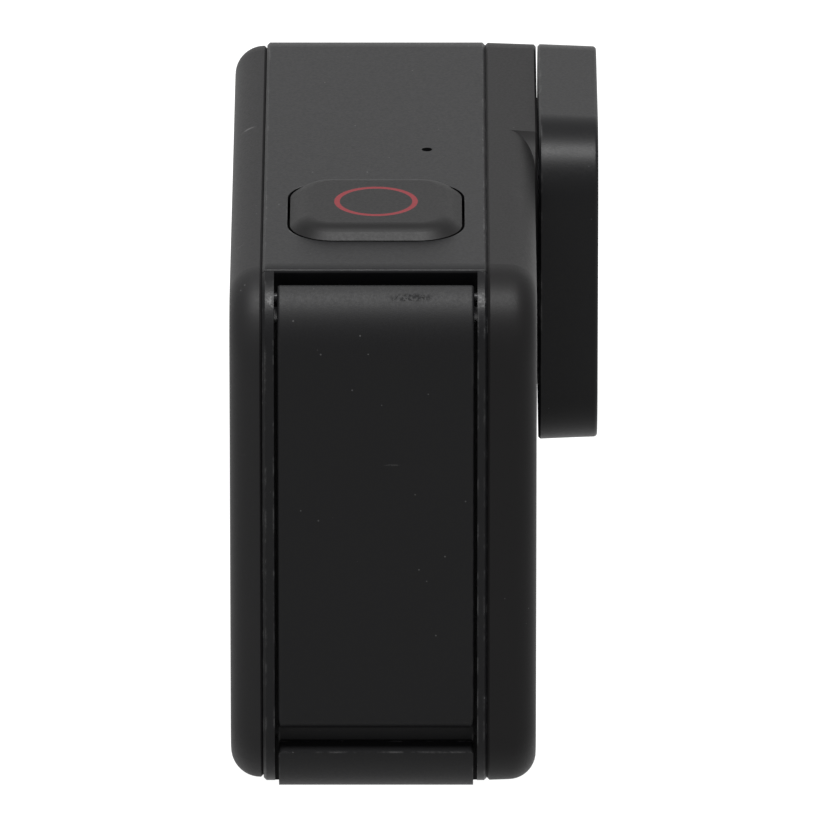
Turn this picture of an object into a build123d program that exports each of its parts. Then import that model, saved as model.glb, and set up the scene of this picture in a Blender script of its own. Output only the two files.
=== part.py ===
"""Compact action camera, built as separate pieces.

All sizes are in millimetres. X runs across the camera as seen from its front, Y runs from
the lens (-Y) to the rear screen (+Y) and Z is up. The base of the body is at Z = 0, the side
door is on the -X side and the mode button on the +X side.
"""
import os
from math import atan2, cos, degrees, hypot, radians, sin

from build123d import *

# Overall body
body_w = 71.0
body_h = 49.8
corner_r = 7.0
mode_rise = 0.8
body_x = -mode_rise / 2
rear_y = 16.65
rear_seam_y = 13.67
front_seam_y = -6.62
front_y = -11.08
wall = 2.2
groove = 0.25
rear_inset = 0.3
rear_edge_r = 2.7
front_inset = 0.02
front_edge_r = 2.5
front_draft = 2.0

# Fits
touch_gap = 0.15
gap = 0.3
run_fit = 0.05

# Seam between the top panel and the frame below it
seam_angle = 12.5
seam_gap = 0.1

# Side door
door_w = 17.75
door_y = 3.45
door_top_angle = 27.0
door_t = 2.2
door_edge_r = 0.3
well_depth = 3.85
frame_t = 1.1
fill_w = 9.0
door_face_end_z = 8.4
door_lip_r = 1.4
pocket_top_z = 12.6
pocket_cut = 0.45
skin_offset = 0.5
skin_t = 0.9
skin_low_z = 4.2
bridge_h = 1.4
hinge_r_in = 5.7
hinge_angle = 32.0
pin_r = 0.45
knuckle_r = 0.9
knuckle_len = 4.4
knuckle_pitch = 9.0
pin_seat = 0.7
panel_edge_r = 0.3
seal_gap = 0.1
seal_inset = 0.1
seal_side = 0.5
seal_end = 1.0
seal_top_angle = 40.0
seal_low_z = 4.3

# Door latch
latch_w = 17.65
latch_shift = 0.2
latch_rise = 0.5
latch_t = 1.7
latch_top_angle = 15.0
latch_end_angle = 68.5
latch_end_x = 4.7
tongue_t = 0.65
tongue_top_z = 10.4
web_w = 1.25
web_low_z = 3.5
web_top_z = 5.2
well_end_x = 5.05

# Shutter button
shutter_x = -15.2
shutter_y = 3.45
shutter_w = 14.9
shutter_d = 15.6
shutter_r = 4.0
shutter_gap = 0.25
shutter_rise = 1.0
shutter_slope = 1.3
shutter_crown_r = 2.2
shutter_flange = 0.9
flange_t = 0.55
button_travel = 0.5
ring_r = 3.55
ring_stroke = 0.5
ring_depth = 0.3

# Top microphone
mic_hole_r = 0.5
mic_x = 1.05
mic_y = -1.18
mic_r = 1.9
mic_t = 1.2

# Mode button and speaker on the +X side
mode_y = 3.5
mode_z = 27.0
mode_w = 8.6
mode_h = 12.6
mode_r = 3.6
tray_wall = 0.8
tray_depth = 3.4
tray_rim = 2.4
speaker_z = 11.5
speaker_w = 9.0
speaker_h = 8.0
speaker_d = 5.5
slot_h = 0.9
slot_w = 6.0
slot_pitch = 2.2

# Lens cover and bayonet
cover_size = 31.6
cover_r = 7.0
cover_side_gap = 2.07
cover_rise = 0.6
cover_front_y = -16.95
cover_rear_y = -11.5
cover_draft = 2.3
cover_edge_r = 0.35
cover_groove = 0.2
boss_front_y = -11.35
boss_size = 31.2
cover_plate_t = 1.9
cover_seal_t = 0.3
cover_bore_r = 14.4
window_r = 11.8
glass_r = 12.7
glass_t = 1.1
glass_sink = 0.15
bay_r = 13.3
bay_bore_r = 10.9
bay_flange_r = 14.8
bay_flange_t = 1.0
lug_h = 0.95
lug_t = 0.85
lug_gap = 0.3
lug_inset = 0.9
lug_angle = 60.0

# Lens
barrel_r = 10.6
barrel_front_y = -14.0
barrel_flange_r = 13.6
barrel_tail_r = 7.4
barrel_tail_y = 3.0
front_element_r = 7.6
front_element_t = 3.2
front_element_dome_r = 1.8
element_sink = 1.0
funnel_w = 1.6
funnel_depth = 1.2
funnel_angle = 45.0
rear_element_r = 4.2
rear_element_t = 2.0
sensor_w = 7.2
sensor_board_w = 14.5

# Screens
shell_t = 2.0
front_glass_w = 29.0
front_glass_h = 29.0
front_glass_x = 4.6
front_glass_z = 24.0
front_glass_t = 1.0
rear_glass_w = 60.0
rear_glass_h = 38.0
rear_glass_z = 24.4
rear_glass_t = 0.9
glass_corner_r = 3.0
seat_ledge = 1.2
glass_fit = 0.05
led_r = 1.0
led_len = 2.6
rear_led_gap = 0.2
rear_lip = 0.4
front_display_t = 1.25
rear_display_t = 2.4

# Battery and its bay
battery_w = 39.4
battery_d = 12.2
battery_h = 33.0
battery_y = 5.3
battery_corner_r = 1.2
bay_clear = 0.35
bay_wall = 0.7
contact_t = 0.7
contact_w = 1.4
contact_h = 5.0
contact_pitch = 3.0
tab_w = 6.0
tab_h = 9.0
tab_t = 0.5

# Boards and ports
board_t = 1.0
board_y = -4.6
card_w = 15.0
card_h = 11.0
card_t = 0.75
card_slot_d = 1.9
card_slot_w = 16.5
card_slot_h = 13.4
card_z = 25.0
usb_w = 8.94
usb_h = 3.2
usb_len = 7.3
usb_wall = 0.35
usb_tongue_t = 0.7
switch_w = 4.0
switch_t = 1.1
switch_dome_h = 0.3
switch_dome_angle = 30.0

# Folding mounting fingers
finger_y = 3.5
finger_t = 3.0
finger_gap = 3.2
finger_r = 7.5
finger_bore_r = 2.5
finger_reach = 10.4
finger_z = 1.9
finger_pin_r = 0.75
finger_neck = 2.2
finger_edge_r = 0.4
knuckle_half_w = 5.9
ear_t = 1.5
ear_r = 1.7
recess_gap = 0.35
recess_depth = 3.8
bracket_t = 1.2
bracket_half_w = 5.2
tub_wall = 1.2
screw_head_r = 1.3
screw_r = 0.8
screw_head_t = 0.7
screw_pitch = 6.0
screw_slot_w = 1.4
screw_slot_t = 0.4
screw_point_gap = 0.2

# Positions that follow from the sizes above
body_left = body_x - body_w / 2
body_right = body_x + body_w / 2
body_z = body_h / 2
band_depth = rear_seam_y - front_seam_y
top_corner = (body_left + corner_r, body_h - corner_r)
top_corner_far = (body_right - corner_r, body_h - corner_r)
low_corner = (body_left + corner_r, corner_r)
door_rear_y = door_y + door_w / 2
hinge_x = top_corner[0] - hinge_r_in * sin(radians(hinge_angle))
hinge_z = top_corner[1] + hinge_r_in * cos(radians(hinge_angle))
button_x = body_x + shutter_x
lens_x = body_right - cover_side_gap - cover_size / 2
lens_z = body_h + cover_rise - cover_size / 2
inner_front_y = front_y + shell_t
boss_low = (lens_x - boss_size / 2, lens_z - boss_size / 2)
tub_top_z = recess_depth + bracket_t + tub_wall
battery_z = tub_top_z + touch_gap + bay_wall + bay_clear + battery_h / 2
battery_end_x = body_left + well_depth + 0.05
bay_top_z = battery_z + battery_h / 2 + bay_clear + bay_wall
bay_start_x = body_left + well_depth + frame_t + gap
bay_end_x = battery_end_x + battery_w + contact_t + bay_wall
usb_z = bay_top_z + 0.5 + usb_h / 2
finger_offset = (finger_gap + finger_t) / 2
finger_hole_x = finger_offset + finger_reach
recess_w = 2 * (finger_hole_x + finger_r + recess_gap)
recess_d = 2 * (finger_r + recess_gap)
door_low_z = door_face_end_z - door_lip_r
seal_out = door_t + run_fit
pocket_x = body_left + door_t - pocket_cut
skin_x = body_left + door_t + skin_offset + skin_t
tongue_x = skin_x - skin_t - gap / 2
latch_x = low_corner[0] + latch_shift
latch_r = corner_r + latch_rise
button_top_z = body_h + shutter_rise
flange_z = body_h - wall - touch_gap - flange_t
switch_z = flange_z - button_travel - touch_gap - switch_dome_h - switch_t
mode_flange_x = body_right - wall - touch_gap - flange_t
mode_switch_t = tray_depth - tray_wall - touch_gap - flange_t - button_travel - touch_gap
front_screen_x = body_left + front_glass_x + front_glass_w / 2
front_display_w = front_glass_w - 2 * seat_ledge
front_display_h = front_glass_h - 2 * seat_ledge
rear_display_w = rear_glass_w - 2 * seat_ledge
rear_display_h = rear_glass_h - 2 * seat_ledge
front_mic_x = lens_x - 8.0
front_mic_z = 8.0
front_led_x = lens_x
rear_led_x = body_x + rear_glass_w / 2 + rear_led_gap + led_r
rear_led_z = rear_glass_z
cover_plate_y = cover_front_y + cover_plate_t
ring_front_y = cover_plate_y + cover_seal_t + touch_gap
barrel_flange_y = inner_front_y + bay_flange_t
sensor_recess = 1.2
sensor_t = 1.0
low_contact_z = battery_z - battery_h / 2 + 6.0
board_left_x = body_left + well_depth + frame_t + gap
board_right_x = lens_x - barrel_tail_r - gap
board_low_z = tub_top_z + touch_gap
board_top_z = body_h - well_depth - frame_t - gap
spreader_front_y = front_y + glass_sink + front_glass_t + front_display_t
spreader_rear_y = spreader_front_y + 1.0
shield_w = 18.0
card_end_x = battery_end_x + card_w
card_slot_x = card_end_x + 1.0 - card_slot_w / 2
ear_out_y = finger_r + recess_gap - gap / 2


def at_y(y):
    """Plane across the camera at depth y; its local axes are X and Z and it faces -Y."""
    return Plane.XZ.offset(-y)


def outline(inset, mode=Mode.ADD):
    """Draw the body's front-view outline, pulled in by inset."""
    with Locations((body_x, body_z)):
        RectangleRounded(body_w - 2 * inset, body_h - 2 * inset, corner_r - inset, mode=mode)


def ray(corner, angle, length):
    """Point length away from a top corner centre, angle degrees over towards -X."""
    return (corner[0] - length * sin(radians(angle)), corner[1] + length * cos(radians(angle)))


def top_sector(angle):
    """Draw the wedge of the front view that lies above both top corner rays."""
    reach = 3 * corner_r
    left = ray(top_corner, angle, reach)
    right = ray(top_corner_far, -angle, reach)
    Polygon(top_corner, left, right, top_corner_far, align=None)


def on_outline(edge):
    """True for an edge along the body's outer surface on the door side."""
    p = edge @ 0.5
    on_side = abs(p.X - body_left) < 0.01
    on_corner = abs(hypot(p.X - top_corner[0], p.Z - top_corner[1]) - corner_r) < 0.01
    return (on_side or on_corner) and edge.bounding_box().size.Y < 0.01


def on_panel_edge(edge):
    """True for the top panel's long outer edge above the door."""
    p = edge @ 0.5
    long = edge.bounding_box().size.Y > band_depth / 2
    outer = abs(hypot(p.X - top_corner[0], p.Z - top_corner[1]) - corner_r) < 0.01
    return long and outer and p.X < top_corner[0] - 0.5


def on_lip_top(edge):
    """True for a short edge at either end of the top of the latch's lip."""
    p = edge @ 0.5
    angle = degrees(atan2(low_corner[1] - p.Z, latch_x - p.X))
    flat = edge.geom_type == GeomType.LINE and edge.bounding_box().size.Y < 0.01
    return flat and abs(angle - latch_top_angle) < 0.1


def door_region(top_angle, low_x):
    """Draw the region on the door side, from a top corner ray down to a base offset."""
    far = body_left - corner_r
    reach = 2 * corner_r
    Polygon(
        top_corner,
        ray(top_corner, top_angle, reach),
        (far, body_h),
        (far, -corner_r),
        (low_x, -corner_r),
        (low_x, low_corner[1]),
        (top_corner[0], low_corner[1]),
        align=None,
    )


def lens_square(size):
    """Draw the lens cover's rounded square about the lens axis, with sides of a given size."""
    with Locations((lens_x, lens_z)):
        RectangleRounded(size, size, cover_r)


def lens_circle(radius, mode=Mode.ADD):
    """Draw a circle on the lens axis."""
    with Locations((lens_x, lens_z)):
        Circle(radius, mode=mode)


def lens_lugs(inner, outer):
    """Draw the two opposite bayonet lugs between two radii."""
    reach = 2 * outer
    half = reach * sin(radians(lug_angle / 2))
    along = reach * cos(radians(lug_angle / 2))
    lens_circle(outer)
    lens_circle(inner, mode=Mode.SUBTRACT)
    with Locations((lens_x, lens_z)):
        Polygon((0, 0), (half, along), (reach * 2, along), (reach * 2, -along), (half, -along),
                align=None, mode=Mode.SUBTRACT)
        Polygon((0, 0), (-half, along), (-reach * 2, along), (-reach * 2, -along),
                (-half, -along), align=None, mode=Mode.SUBTRACT)


# Middle band, later shared out between the frame and the top panel
with BuildPart() as band:
    with BuildSketch(at_y(rear_seam_y)):
        outline(0)
        outline(wall, mode=Mode.SUBTRACT)
    extrude(amount=band_depth)
    band_ends = band.faces().filter_by(Axis.Y)
    chamfer([e for f in band_ends for e in f.outer_wire().edges()], groove)

# Frame: base, sides, door well, finger recess and the openings in them
with BuildPart() as chassis:
    add(band.part)
    with BuildSketch(at_y(rear_y)):
        top_sector(seam_angle)
    extrude(amount=rear_y - cover_front_y, mode=Mode.SUBTRACT)
    with BuildSketch(at_y(rear_seam_y - groove)):
        outline(wall)
        outline(well_depth + frame_t, mode=Mode.SUBTRACT)
        with Locations((body_left + fill_w + body_w / 2, body_z)):
            Rectangle(body_w, 2 * body_h, mode=Mode.SUBTRACT)
    extrude(amount=band_depth - 2 * groove)
    # Door well
    with BuildSketch(at_y(door_rear_y + gap)):
        door_region(seam_angle, body_left + well_end_x)
        outline(well_depth, mode=Mode.SUBTRACT)
    extrude(amount=door_w + 2 * gap, mode=Mode.SUBTRACT)
    with BuildSketch(at_y(door_rear_y + gap + pin_seat)):
        with Locations((hinge_x, hinge_z)):
            Circle(pin_r)
    extrude(amount=door_w + 2 * gap + 2 * pin_seat, mode=Mode.SUBTRACT)
    # Openings behind the door for the battery and card, and for the data port
    bay_rear_y = battery_y + battery_d / 2 + bay_clear
    card_front_y = board_y
    with BuildSketch(Plane.YZ.offset(body_left + fill_w - corner_r)):
        with Locations(((bay_rear_y + card_front_y) / 2, battery_z)):
            RectangleRounded(bay_rear_y - card_front_y, battery_h + 2 * bay_clear, 1.0)
        with Locations((door_y, usb_z)):
            RectangleRounded(usb_w, usb_h, usb_h / 2 - 0.01)
    extrude(amount=corner_r, mode=Mode.SUBTRACT)
    # Tub round the finger recess
    with BuildSketch(Plane.XY):
        with Locations((body_x, finger_y)):
            SlotOverall(recess_w + 2 * tub_wall, recess_d + 2 * tub_wall)
    extrude(amount=recess_depth + tub_wall)
    with BuildSketch(Plane.XY):
        with Locations((body_x, finger_y)):
            Rectangle(2 * (bracket_half_w + tub_wall), recess_d + 2 * tub_wall)
    extrude(amount=tub_top_z)
    with BuildSketch(Plane.XY):
        with Locations((body_x, finger_y)):
            SlotOverall(recess_w, recess_d)
    extrude(amount=recess_depth, mode=Mode.SUBTRACT)
    with BuildSketch(Plane.XY):
        with Locations((body_x, finger_y)):
            Rectangle(2 * bracket_half_w, recess_d)
    extrude(amount=recess_depth + bracket_t, mode=Mode.SUBTRACT)
    with BuildSketch(Plane.XY):
        with Locations((body_x, finger_y)):
            with GridLocations(1, screw_pitch, 1, 2):
                Circle(screw_r)
    extrude(amount=tub_top_z - screw_point_gap, mode=Mode.SUBTRACT)
    # Mode button hole and speaker slots
    with BuildSketch(Plane.YZ.offset(body_right - wall - 1)):
        with Locations((mode_y, mode_z)):
            RectangleRounded(mode_w + 2 * shutter_gap, mode_h + 2 * shutter_gap, mode_r)
        with Locations((mode_y, speaker_z)):
            with GridLocations(1, slot_pitch, 1, 3):
                SlotOverall(slot_w, slot_h)
    extrude(amount=wall + 2, mode=Mode.SUBTRACT)

# Top panel with the shutter button hole and the microphone hole
with BuildPart() as top_panel:
    add(band.part)
    with BuildSketch(at_y(rear_y)):
        top_sector(seam_angle - degrees(seam_gap / corner_r))
    extrude(amount=rear_y - cover_front_y, mode=Mode.INTERSECT)
    fillet([e for e in top_panel.edges() if on_panel_edge(e)], panel_edge_r)
    with BuildSketch(Plane.XY.offset(body_h - wall - 1)):
        with Locations((button_x, shutter_y)):
            RectangleRounded(shutter_w + 2 * shutter_gap, shutter_d + 2 * shutter_gap,
                             shutter_r + shutter_gap)
        with Locations((body_x + mic_x, mic_y)):
            Circle(mic_hole_r)
    extrude(amount=wall + 2, mode=Mode.SUBTRACT)

# Side door: curved outer face, latch pocket, inner skin and hinge knuckles
with BuildPart() as door:
    with BuildSketch(at_y(door_rear_y)):
        door_region(door_top_angle, body_left + corner_r)
        with Locations((body_x, body_z)):
            RectangleRounded(body_w, body_h, corner_r, mode=Mode.INTERSECT)
        outline(door_t, mode=Mode.SUBTRACT)
        with Locations((body_left, door_low_z - corner_r)):
            Rectangle(4 * corner_r, 2 * corner_r, mode=Mode.SUBTRACT)
        with Locations((pocket_x + corner_r, pocket_top_z - corner_r)):
            Rectangle(2 * corner_r, 2 * corner_r, mode=Mode.SUBTRACT)
    extrude(amount=door_w)
    cross_edges = door.edges().filter_by(Axis.Y).group_by(Axis.Z)
    low_edge = cross_edges[0].sort_by(Axis.X)[0]
    fillet(low_edge, door_lip_r)
    fillet(door.edges().filter_by(Axis.Y).group_by(Axis.Z)[-1], door_edge_r)
    fillet([e for e in door.edges() if on_outline(e)], door_edge_r)
    with BuildSketch(at_y(door_rear_y)):
        with Locations((skin_x - skin_t / 2, (skin_low_z + pocket_top_z + bridge_h) / 2)):
            Rectangle(skin_t, pocket_top_z + bridge_h - skin_low_z)
        with Locations(((skin_x + pocket_x) / 2, pocket_top_z + bridge_h / 2)):
            Rectangle(skin_x - pocket_x, bridge_h)
    extrude(amount=door_w)
    for knuckle_y in (door_y - knuckle_pitch / 2, door_y + knuckle_pitch / 2):
        with BuildSketch(at_y(knuckle_y + knuckle_len / 2)):
            with Locations((hinge_x, hinge_z)):
                Circle(knuckle_r)
        extrude(amount=knuckle_len)
    with BuildSketch(at_y(door_rear_y)):
        with Locations((hinge_x, hinge_z)):
            Circle(pin_r + run_fit)
    extrude(amount=door_w, mode=Mode.SUBTRACT)

# Hinge pin of the door, seated in the strips on both sides
with BuildPart() as door_hinge_pin:
    with BuildSketch(at_y(door_rear_y + gap + pin_seat)):
        with Locations((hinge_x, hinge_z)):
            Circle(pin_r)
    extrude(amount=door_w + 2 * gap + 2 * pin_seat)

# Rubber seal on the inside of the door
with BuildPart() as door_seal:
    with BuildSketch(at_y(door_rear_y - seal_inset)):
        door_region(seal_top_angle, body_left + well_end_x - gap)
        with Locations((body_x, body_z)):
            RectangleRounded(body_w - 2 * seal_out, body_h - 2 * seal_out, corner_r - seal_out,
                             mode=Mode.INTERSECT)
        outline(well_depth - seal_gap, mode=Mode.SUBTRACT)
        with Locations((body_left, seal_low_z - corner_r)):
            Rectangle(4 * corner_r, 2 * corner_r, mode=Mode.SUBTRACT)
        with Locations((skin_x - corner_r, pocket_top_z + bridge_h - corner_r)):
            Rectangle(2 * corner_r, 2 * corner_r, mode=Mode.SUBTRACT)
    extrude(amount=door_w - 2 * seal_inset)
    with BuildSketch(Plane.YZ.offset(body_left - corner_r)):
        window_low = seal_low_z + seal_end
        window_top = top_corner[1] + (corner_r - door_t) * cos(radians(seal_top_angle)) - seal_end
        with Locations((door_y, (window_low + window_top) / 2)):
            Rectangle(door_w - 2 * seal_inset - 2 * seal_side, window_top - window_low)
    extrude(amount=4 * corner_r, mode=Mode.SUBTRACT)
    add(door.part, mode=Mode.SUBTRACT)

# Sliding latch: curved lip on the lower corner and a tongue behind the door face
with BuildPart() as door_latch:
    with BuildSketch(at_y(door_y + latch_w / 2)):
        with Locations((latch_x, low_corner[1])):
            Circle(latch_r)
            Circle(latch_r - latch_t, mode=Mode.SUBTRACT)
            Polygon(
                (0, 0),
                (-4 * corner_r * cos(radians(latch_top_angle)),
                 -4 * corner_r * sin(radians(latch_top_angle))),
                (-4 * corner_r * cos(radians(latch_end_angle)),
                 -4 * corner_r * sin(radians(latch_end_angle))),
                align=None,
                mode=Mode.INTERSECT,
            )
        with Locations((body_left + latch_end_x + corner_r, low_corner[1])):
            Rectangle(2 * corner_r, 4 * corner_r, mode=Mode.SUBTRACT)
        with Locations((tongue_x - tongue_t / 2, (web_low_z + tongue_top_z) / 2)):
            Rectangle(tongue_t, tongue_top_z - web_low_z)
        with Locations((tongue_x - web_w / 2, (web_low_z + web_top_z) / 2)):
            Rectangle(web_w, web_top_z - web_low_z)
    extrude(amount=latch_w)
    fillet([e for e in door_latch.edges() if on_lip_top(e)], door_edge_r)

# Shutter button, its red ring and the switch below it
with BuildPart() as shutter_button:
    with BuildSketch(Plane.XY.offset(flange_z)):
        with Locations((button_x, shutter_y)):
            RectangleRounded(shutter_w + 2 * shutter_flange, shutter_d + 2 * shutter_flange,
                             shutter_r + shutter_flange)
    extrude(amount=flange_t)
    with BuildSketch(Plane.XY.offset(flange_z)):
        with Locations((button_x, shutter_y)):
            RectangleRounded(shutter_w, shutter_d, shutter_r)
    extrude(amount=body_h - flange_z)
    with BuildSketch(Plane.XY.offset(body_h)):
        with Locations((button_x, shutter_y)):
            RectangleRounded(shutter_w, shutter_d, shutter_r)
    extrude(amount=shutter_rise, taper=degrees(atan2(shutter_slope, shutter_rise)))
    crown = shutter_button.edges().group_by(Axis.Z)[-1]
    fillet(crown, shutter_crown_r)
    with BuildSketch(Plane.XY.offset(button_top_z)):
        with Locations((button_x, shutter_y)):
            Circle(ring_r + ring_stroke / 2)
            Circle(ring_r - ring_stroke / 2, mode=Mode.SUBTRACT)
    extrude(amount=-ring_depth, mode=Mode.SUBTRACT)

with BuildPart() as shutter_ring:
    with BuildSketch(Plane.XY.offset(button_top_z)):
        with Locations((button_x, shutter_y)):
            Circle(ring_r + ring_stroke / 2)
            Circle(ring_r - ring_stroke / 2, mode=Mode.SUBTRACT)
    extrude(amount=-ring_depth)

with BuildPart() as shutter_switch:
    with BuildSketch(Plane.XY.offset(switch_z)):
        with Locations((button_x, shutter_y)):
            RectangleRounded(switch_w, switch_w, switch_w / 8)
    extrude(amount=switch_t)
    with BuildSketch(Plane.XY.offset(switch_z + switch_t)):
        with Locations((button_x, shutter_y)):
            Circle(switch_w / 4)
    extrude(amount=switch_dome_h, taper=switch_dome_angle)

# Microphones behind their holes
with BuildPart() as top_microphone:
    with BuildSketch(Plane.XY.offset(body_h - wall)):
        with Locations((body_x + mic_x, mic_y)):
            Circle(mic_r)
    extrude(amount=-mic_t)

with BuildPart() as front_microphone:
    with BuildSketch(at_y(inner_front_y)):
        with Locations((front_mic_x, front_mic_z)):
            Circle(mic_r)
    extrude(amount=-mic_t)

# Mode button, its carrier and switch
with BuildPart() as mode_button:
    with BuildSketch(Plane.YZ.offset(mode_flange_x)):
        with Locations((mode_y, mode_z)):
            RectangleRounded(mode_w + 2 * shutter_flange, mode_h + 2 * shutter_flange,
                             mode_r + shutter_flange)
    extrude(amount=flange_t)
    with BuildSketch(Plane.YZ.offset(mode_flange_x)):
        with Locations((mode_y, mode_z)):
            RectangleRounded(mode_w, mode_h, mode_r)
    extrude(amount=body_right + mode_rise - mode_flange_x)
    fillet(mode_button.edges().group_by(Axis.X)[-1], mode_rise / 2)

with BuildPart() as mode_carrier:
    with BuildSketch(Plane.YZ.offset(body_right - wall - tray_depth)):
        with Locations((mode_y, mode_z)):
            RectangleRounded(mode_w + 2 * tray_rim, mode_h + 2 * tray_rim, mode_r)
    extrude(amount=tray_depth)
    with BuildSketch(Plane.YZ.offset(body_right - wall - tray_depth + tray_wall)):
        with Locations((mode_y, mode_z)):
            RectangleRounded(mode_w + 2 * (tray_rim - tray_wall),
                             mode_h + 2 * (tray_rim - tray_wall), mode_r - 0.5)
    extrude(amount=tray_depth, mode=Mode.SUBTRACT)

with BuildPart() as mode_switch:
    with BuildSketch(Plane.YZ.offset(body_right - wall - tray_depth + tray_wall)):
        with Locations((mode_y, mode_z)):
            RectangleRounded(switch_w, switch_w, switch_w / 8)
    extrude(amount=mode_switch_t)

# Speaker behind its slots
with BuildPart() as speaker:
    with BuildSketch(Plane.YZ.offset(body_right - wall)):
        with Locations((mode_y, speaker_z)):
            RectangleRounded(speaker_w, speaker_h, 1.5)
    extrude(amount=-speaker_d)

# Front shell: soft-touch front cover with the screen window and the lens opening
with BuildPart() as lens_boss:
    with BuildSketch(at_y(front_seam_y)):
        outline(front_inset)
    extrude(amount=front_seam_y - boss_front_y, taper=front_draft)
    with BuildSketch(at_y(front_seam_y)):
        lens_square(boss_size)
        with Locations((boss_low[0] + body_w, boss_low[1] + body_h)):
            Rectangle(2 * (body_w - boss_size / 2), 2 * body_h)
    extrude(amount=front_seam_y - boss_front_y, mode=Mode.INTERSECT)
    chamfer(lens_boss.faces().sort_by(Axis.Y)[0].outer_wire().edges(), cover_groove)

with BuildPart() as front_shell:
    with BuildSketch(at_y(front_seam_y)):
        outline(front_inset)
    extrude(amount=front_seam_y - front_y, taper=front_draft)
    fillet(front_shell.faces().sort_by(Axis.Y)[0].outer_wire().edges(), front_edge_r)
    add(lens_boss.part)
    chamfer(front_shell.faces().sort_by(Axis.Y)[-1].outer_wire().edges(), groove)
    with BuildSketch(at_y(front_seam_y)):
        outline(wall)
    extrude(amount=front_seam_y - inner_front_y, mode=Mode.SUBTRACT)
    with BuildSketch(at_y(inner_front_y)):
        lens_circle(bay_r + glass_fit)
        with Locations((front_screen_x, front_glass_z)):
            RectangleRounded(front_display_w, front_display_h, glass_corner_r - seat_ledge / 2)
        with Locations((front_mic_x, front_mic_z)):
            Circle(mic_hole_r)
        with Locations((front_led_x, front_mic_z)):
            Circle(led_r)
    extrude(amount=shell_t + 1, mode=Mode.SUBTRACT)
    with BuildSketch(at_y(front_y)):
        with Locations((front_screen_x, front_glass_z)):
            RectangleRounded(front_glass_w, front_glass_h, glass_corner_r)
    extrude(amount=-front_glass_t - glass_sink, mode=Mode.SUBTRACT)

with BuildPart() as front_glass:
    with BuildSketch(at_y(front_y + glass_sink)):
        with Locations((front_screen_x, front_glass_z)):
            RectangleRounded(front_glass_w - 2 * glass_fit, front_glass_h - 2 * glass_fit,
                             glass_corner_r - glass_fit)
    extrude(amount=-front_glass_t)

with BuildPart() as front_display:
    with BuildSketch(at_y(front_y + glass_sink + front_glass_t)):
        with Locations((front_screen_x, front_glass_z)):
            Rectangle(front_display_w - 2 * glass_corner_r, front_display_h - 2 * glass_corner_r)
    extrude(amount=-front_display_t)

with BuildPart() as front_status_light:
    with BuildSketch(at_y(front_y)):
        with Locations((front_led_x, front_mic_z)):
            Circle(led_r)
    extrude(amount=-led_len)

# Rear shell with the touch screen
with BuildPart() as rear_shell:
    with BuildSketch(at_y(rear_y)):
        outline(rear_inset)
    extrude(amount=rear_y - rear_seam_y)
    fillet(rear_shell.faces().sort_by(Axis.Y)[-1].outer_wire().edges(), rear_edge_r)
    chamfer(rear_shell.faces().sort_by(Axis.Y)[0].outer_wire().edges(), groove)
    with BuildSketch(at_y(rear_seam_y + rear_lip)):
        outline(wall + rear_inset)
    extrude(amount=rear_lip, mode=Mode.SUBTRACT)
    with BuildSketch(at_y(rear_y)):
        with Locations((body_x, rear_glass_z)):
            RectangleRounded(rear_display_w, rear_display_h, glass_corner_r - seat_ledge / 2)
        with Locations((rear_led_x, rear_led_z)):
            Circle(led_r)
    extrude(amount=rear_y - rear_seam_y, mode=Mode.SUBTRACT)
    with BuildSketch(at_y(rear_y)):
        with Locations((body_x, rear_glass_z)):
            RectangleRounded(rear_glass_w, rear_glass_h, glass_corner_r)
    extrude(amount=rear_glass_t + glass_sink, mode=Mode.SUBTRACT)

with BuildPart() as rear_glass:
    with BuildSketch(at_y(rear_y - glass_sink)):
        with Locations((body_x, rear_glass_z)):
            RectangleRounded(rear_glass_w - 2 * glass_fit, rear_glass_h - 2 * glass_fit,
                             glass_corner_r - glass_fit)
    extrude(amount=rear_glass_t)

with BuildPart() as rear_display:
    with BuildSketch(at_y(rear_y - glass_sink - rear_glass_t)):
        with Locations((body_x, rear_glass_z)):
            Rectangle(rear_display_w - 2 * glass_corner_r, rear_display_h - 2 * glass_corner_r)
    extrude(amount=rear_display_t)

with BuildPart() as rear_status_light:
    with BuildSketch(at_y(rear_y)):
        with Locations((rear_led_x, rear_led_z)):
            Circle(led_r)
    extrude(amount=led_len)

# Bayonet ring fixed to the front shell
with BuildPart() as bayonet_ring:
    with BuildSketch(at_y(inner_front_y + bay_flange_t)):
        lens_circle(bay_flange_r)
        outline(wall, mode=Mode.INTERSECT)
    extrude(amount=bay_flange_t)
    with BuildSketch(at_y(inner_front_y)):
        lens_circle(bay_r)
    extrude(amount=inner_front_y - ring_front_y)
    with BuildSketch(at_y(ring_front_y + lug_inset + lug_t)):
        lens_lugs(bay_r - 0.5, bay_r + lug_h)
    extrude(amount=lug_t)
    with BuildSketch(at_y(inner_front_y + bay_flange_t)):
        lens_circle(bay_bore_r)
    extrude(amount=inner_front_y + bay_flange_t - ring_front_y, mode=Mode.SUBTRACT)

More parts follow.
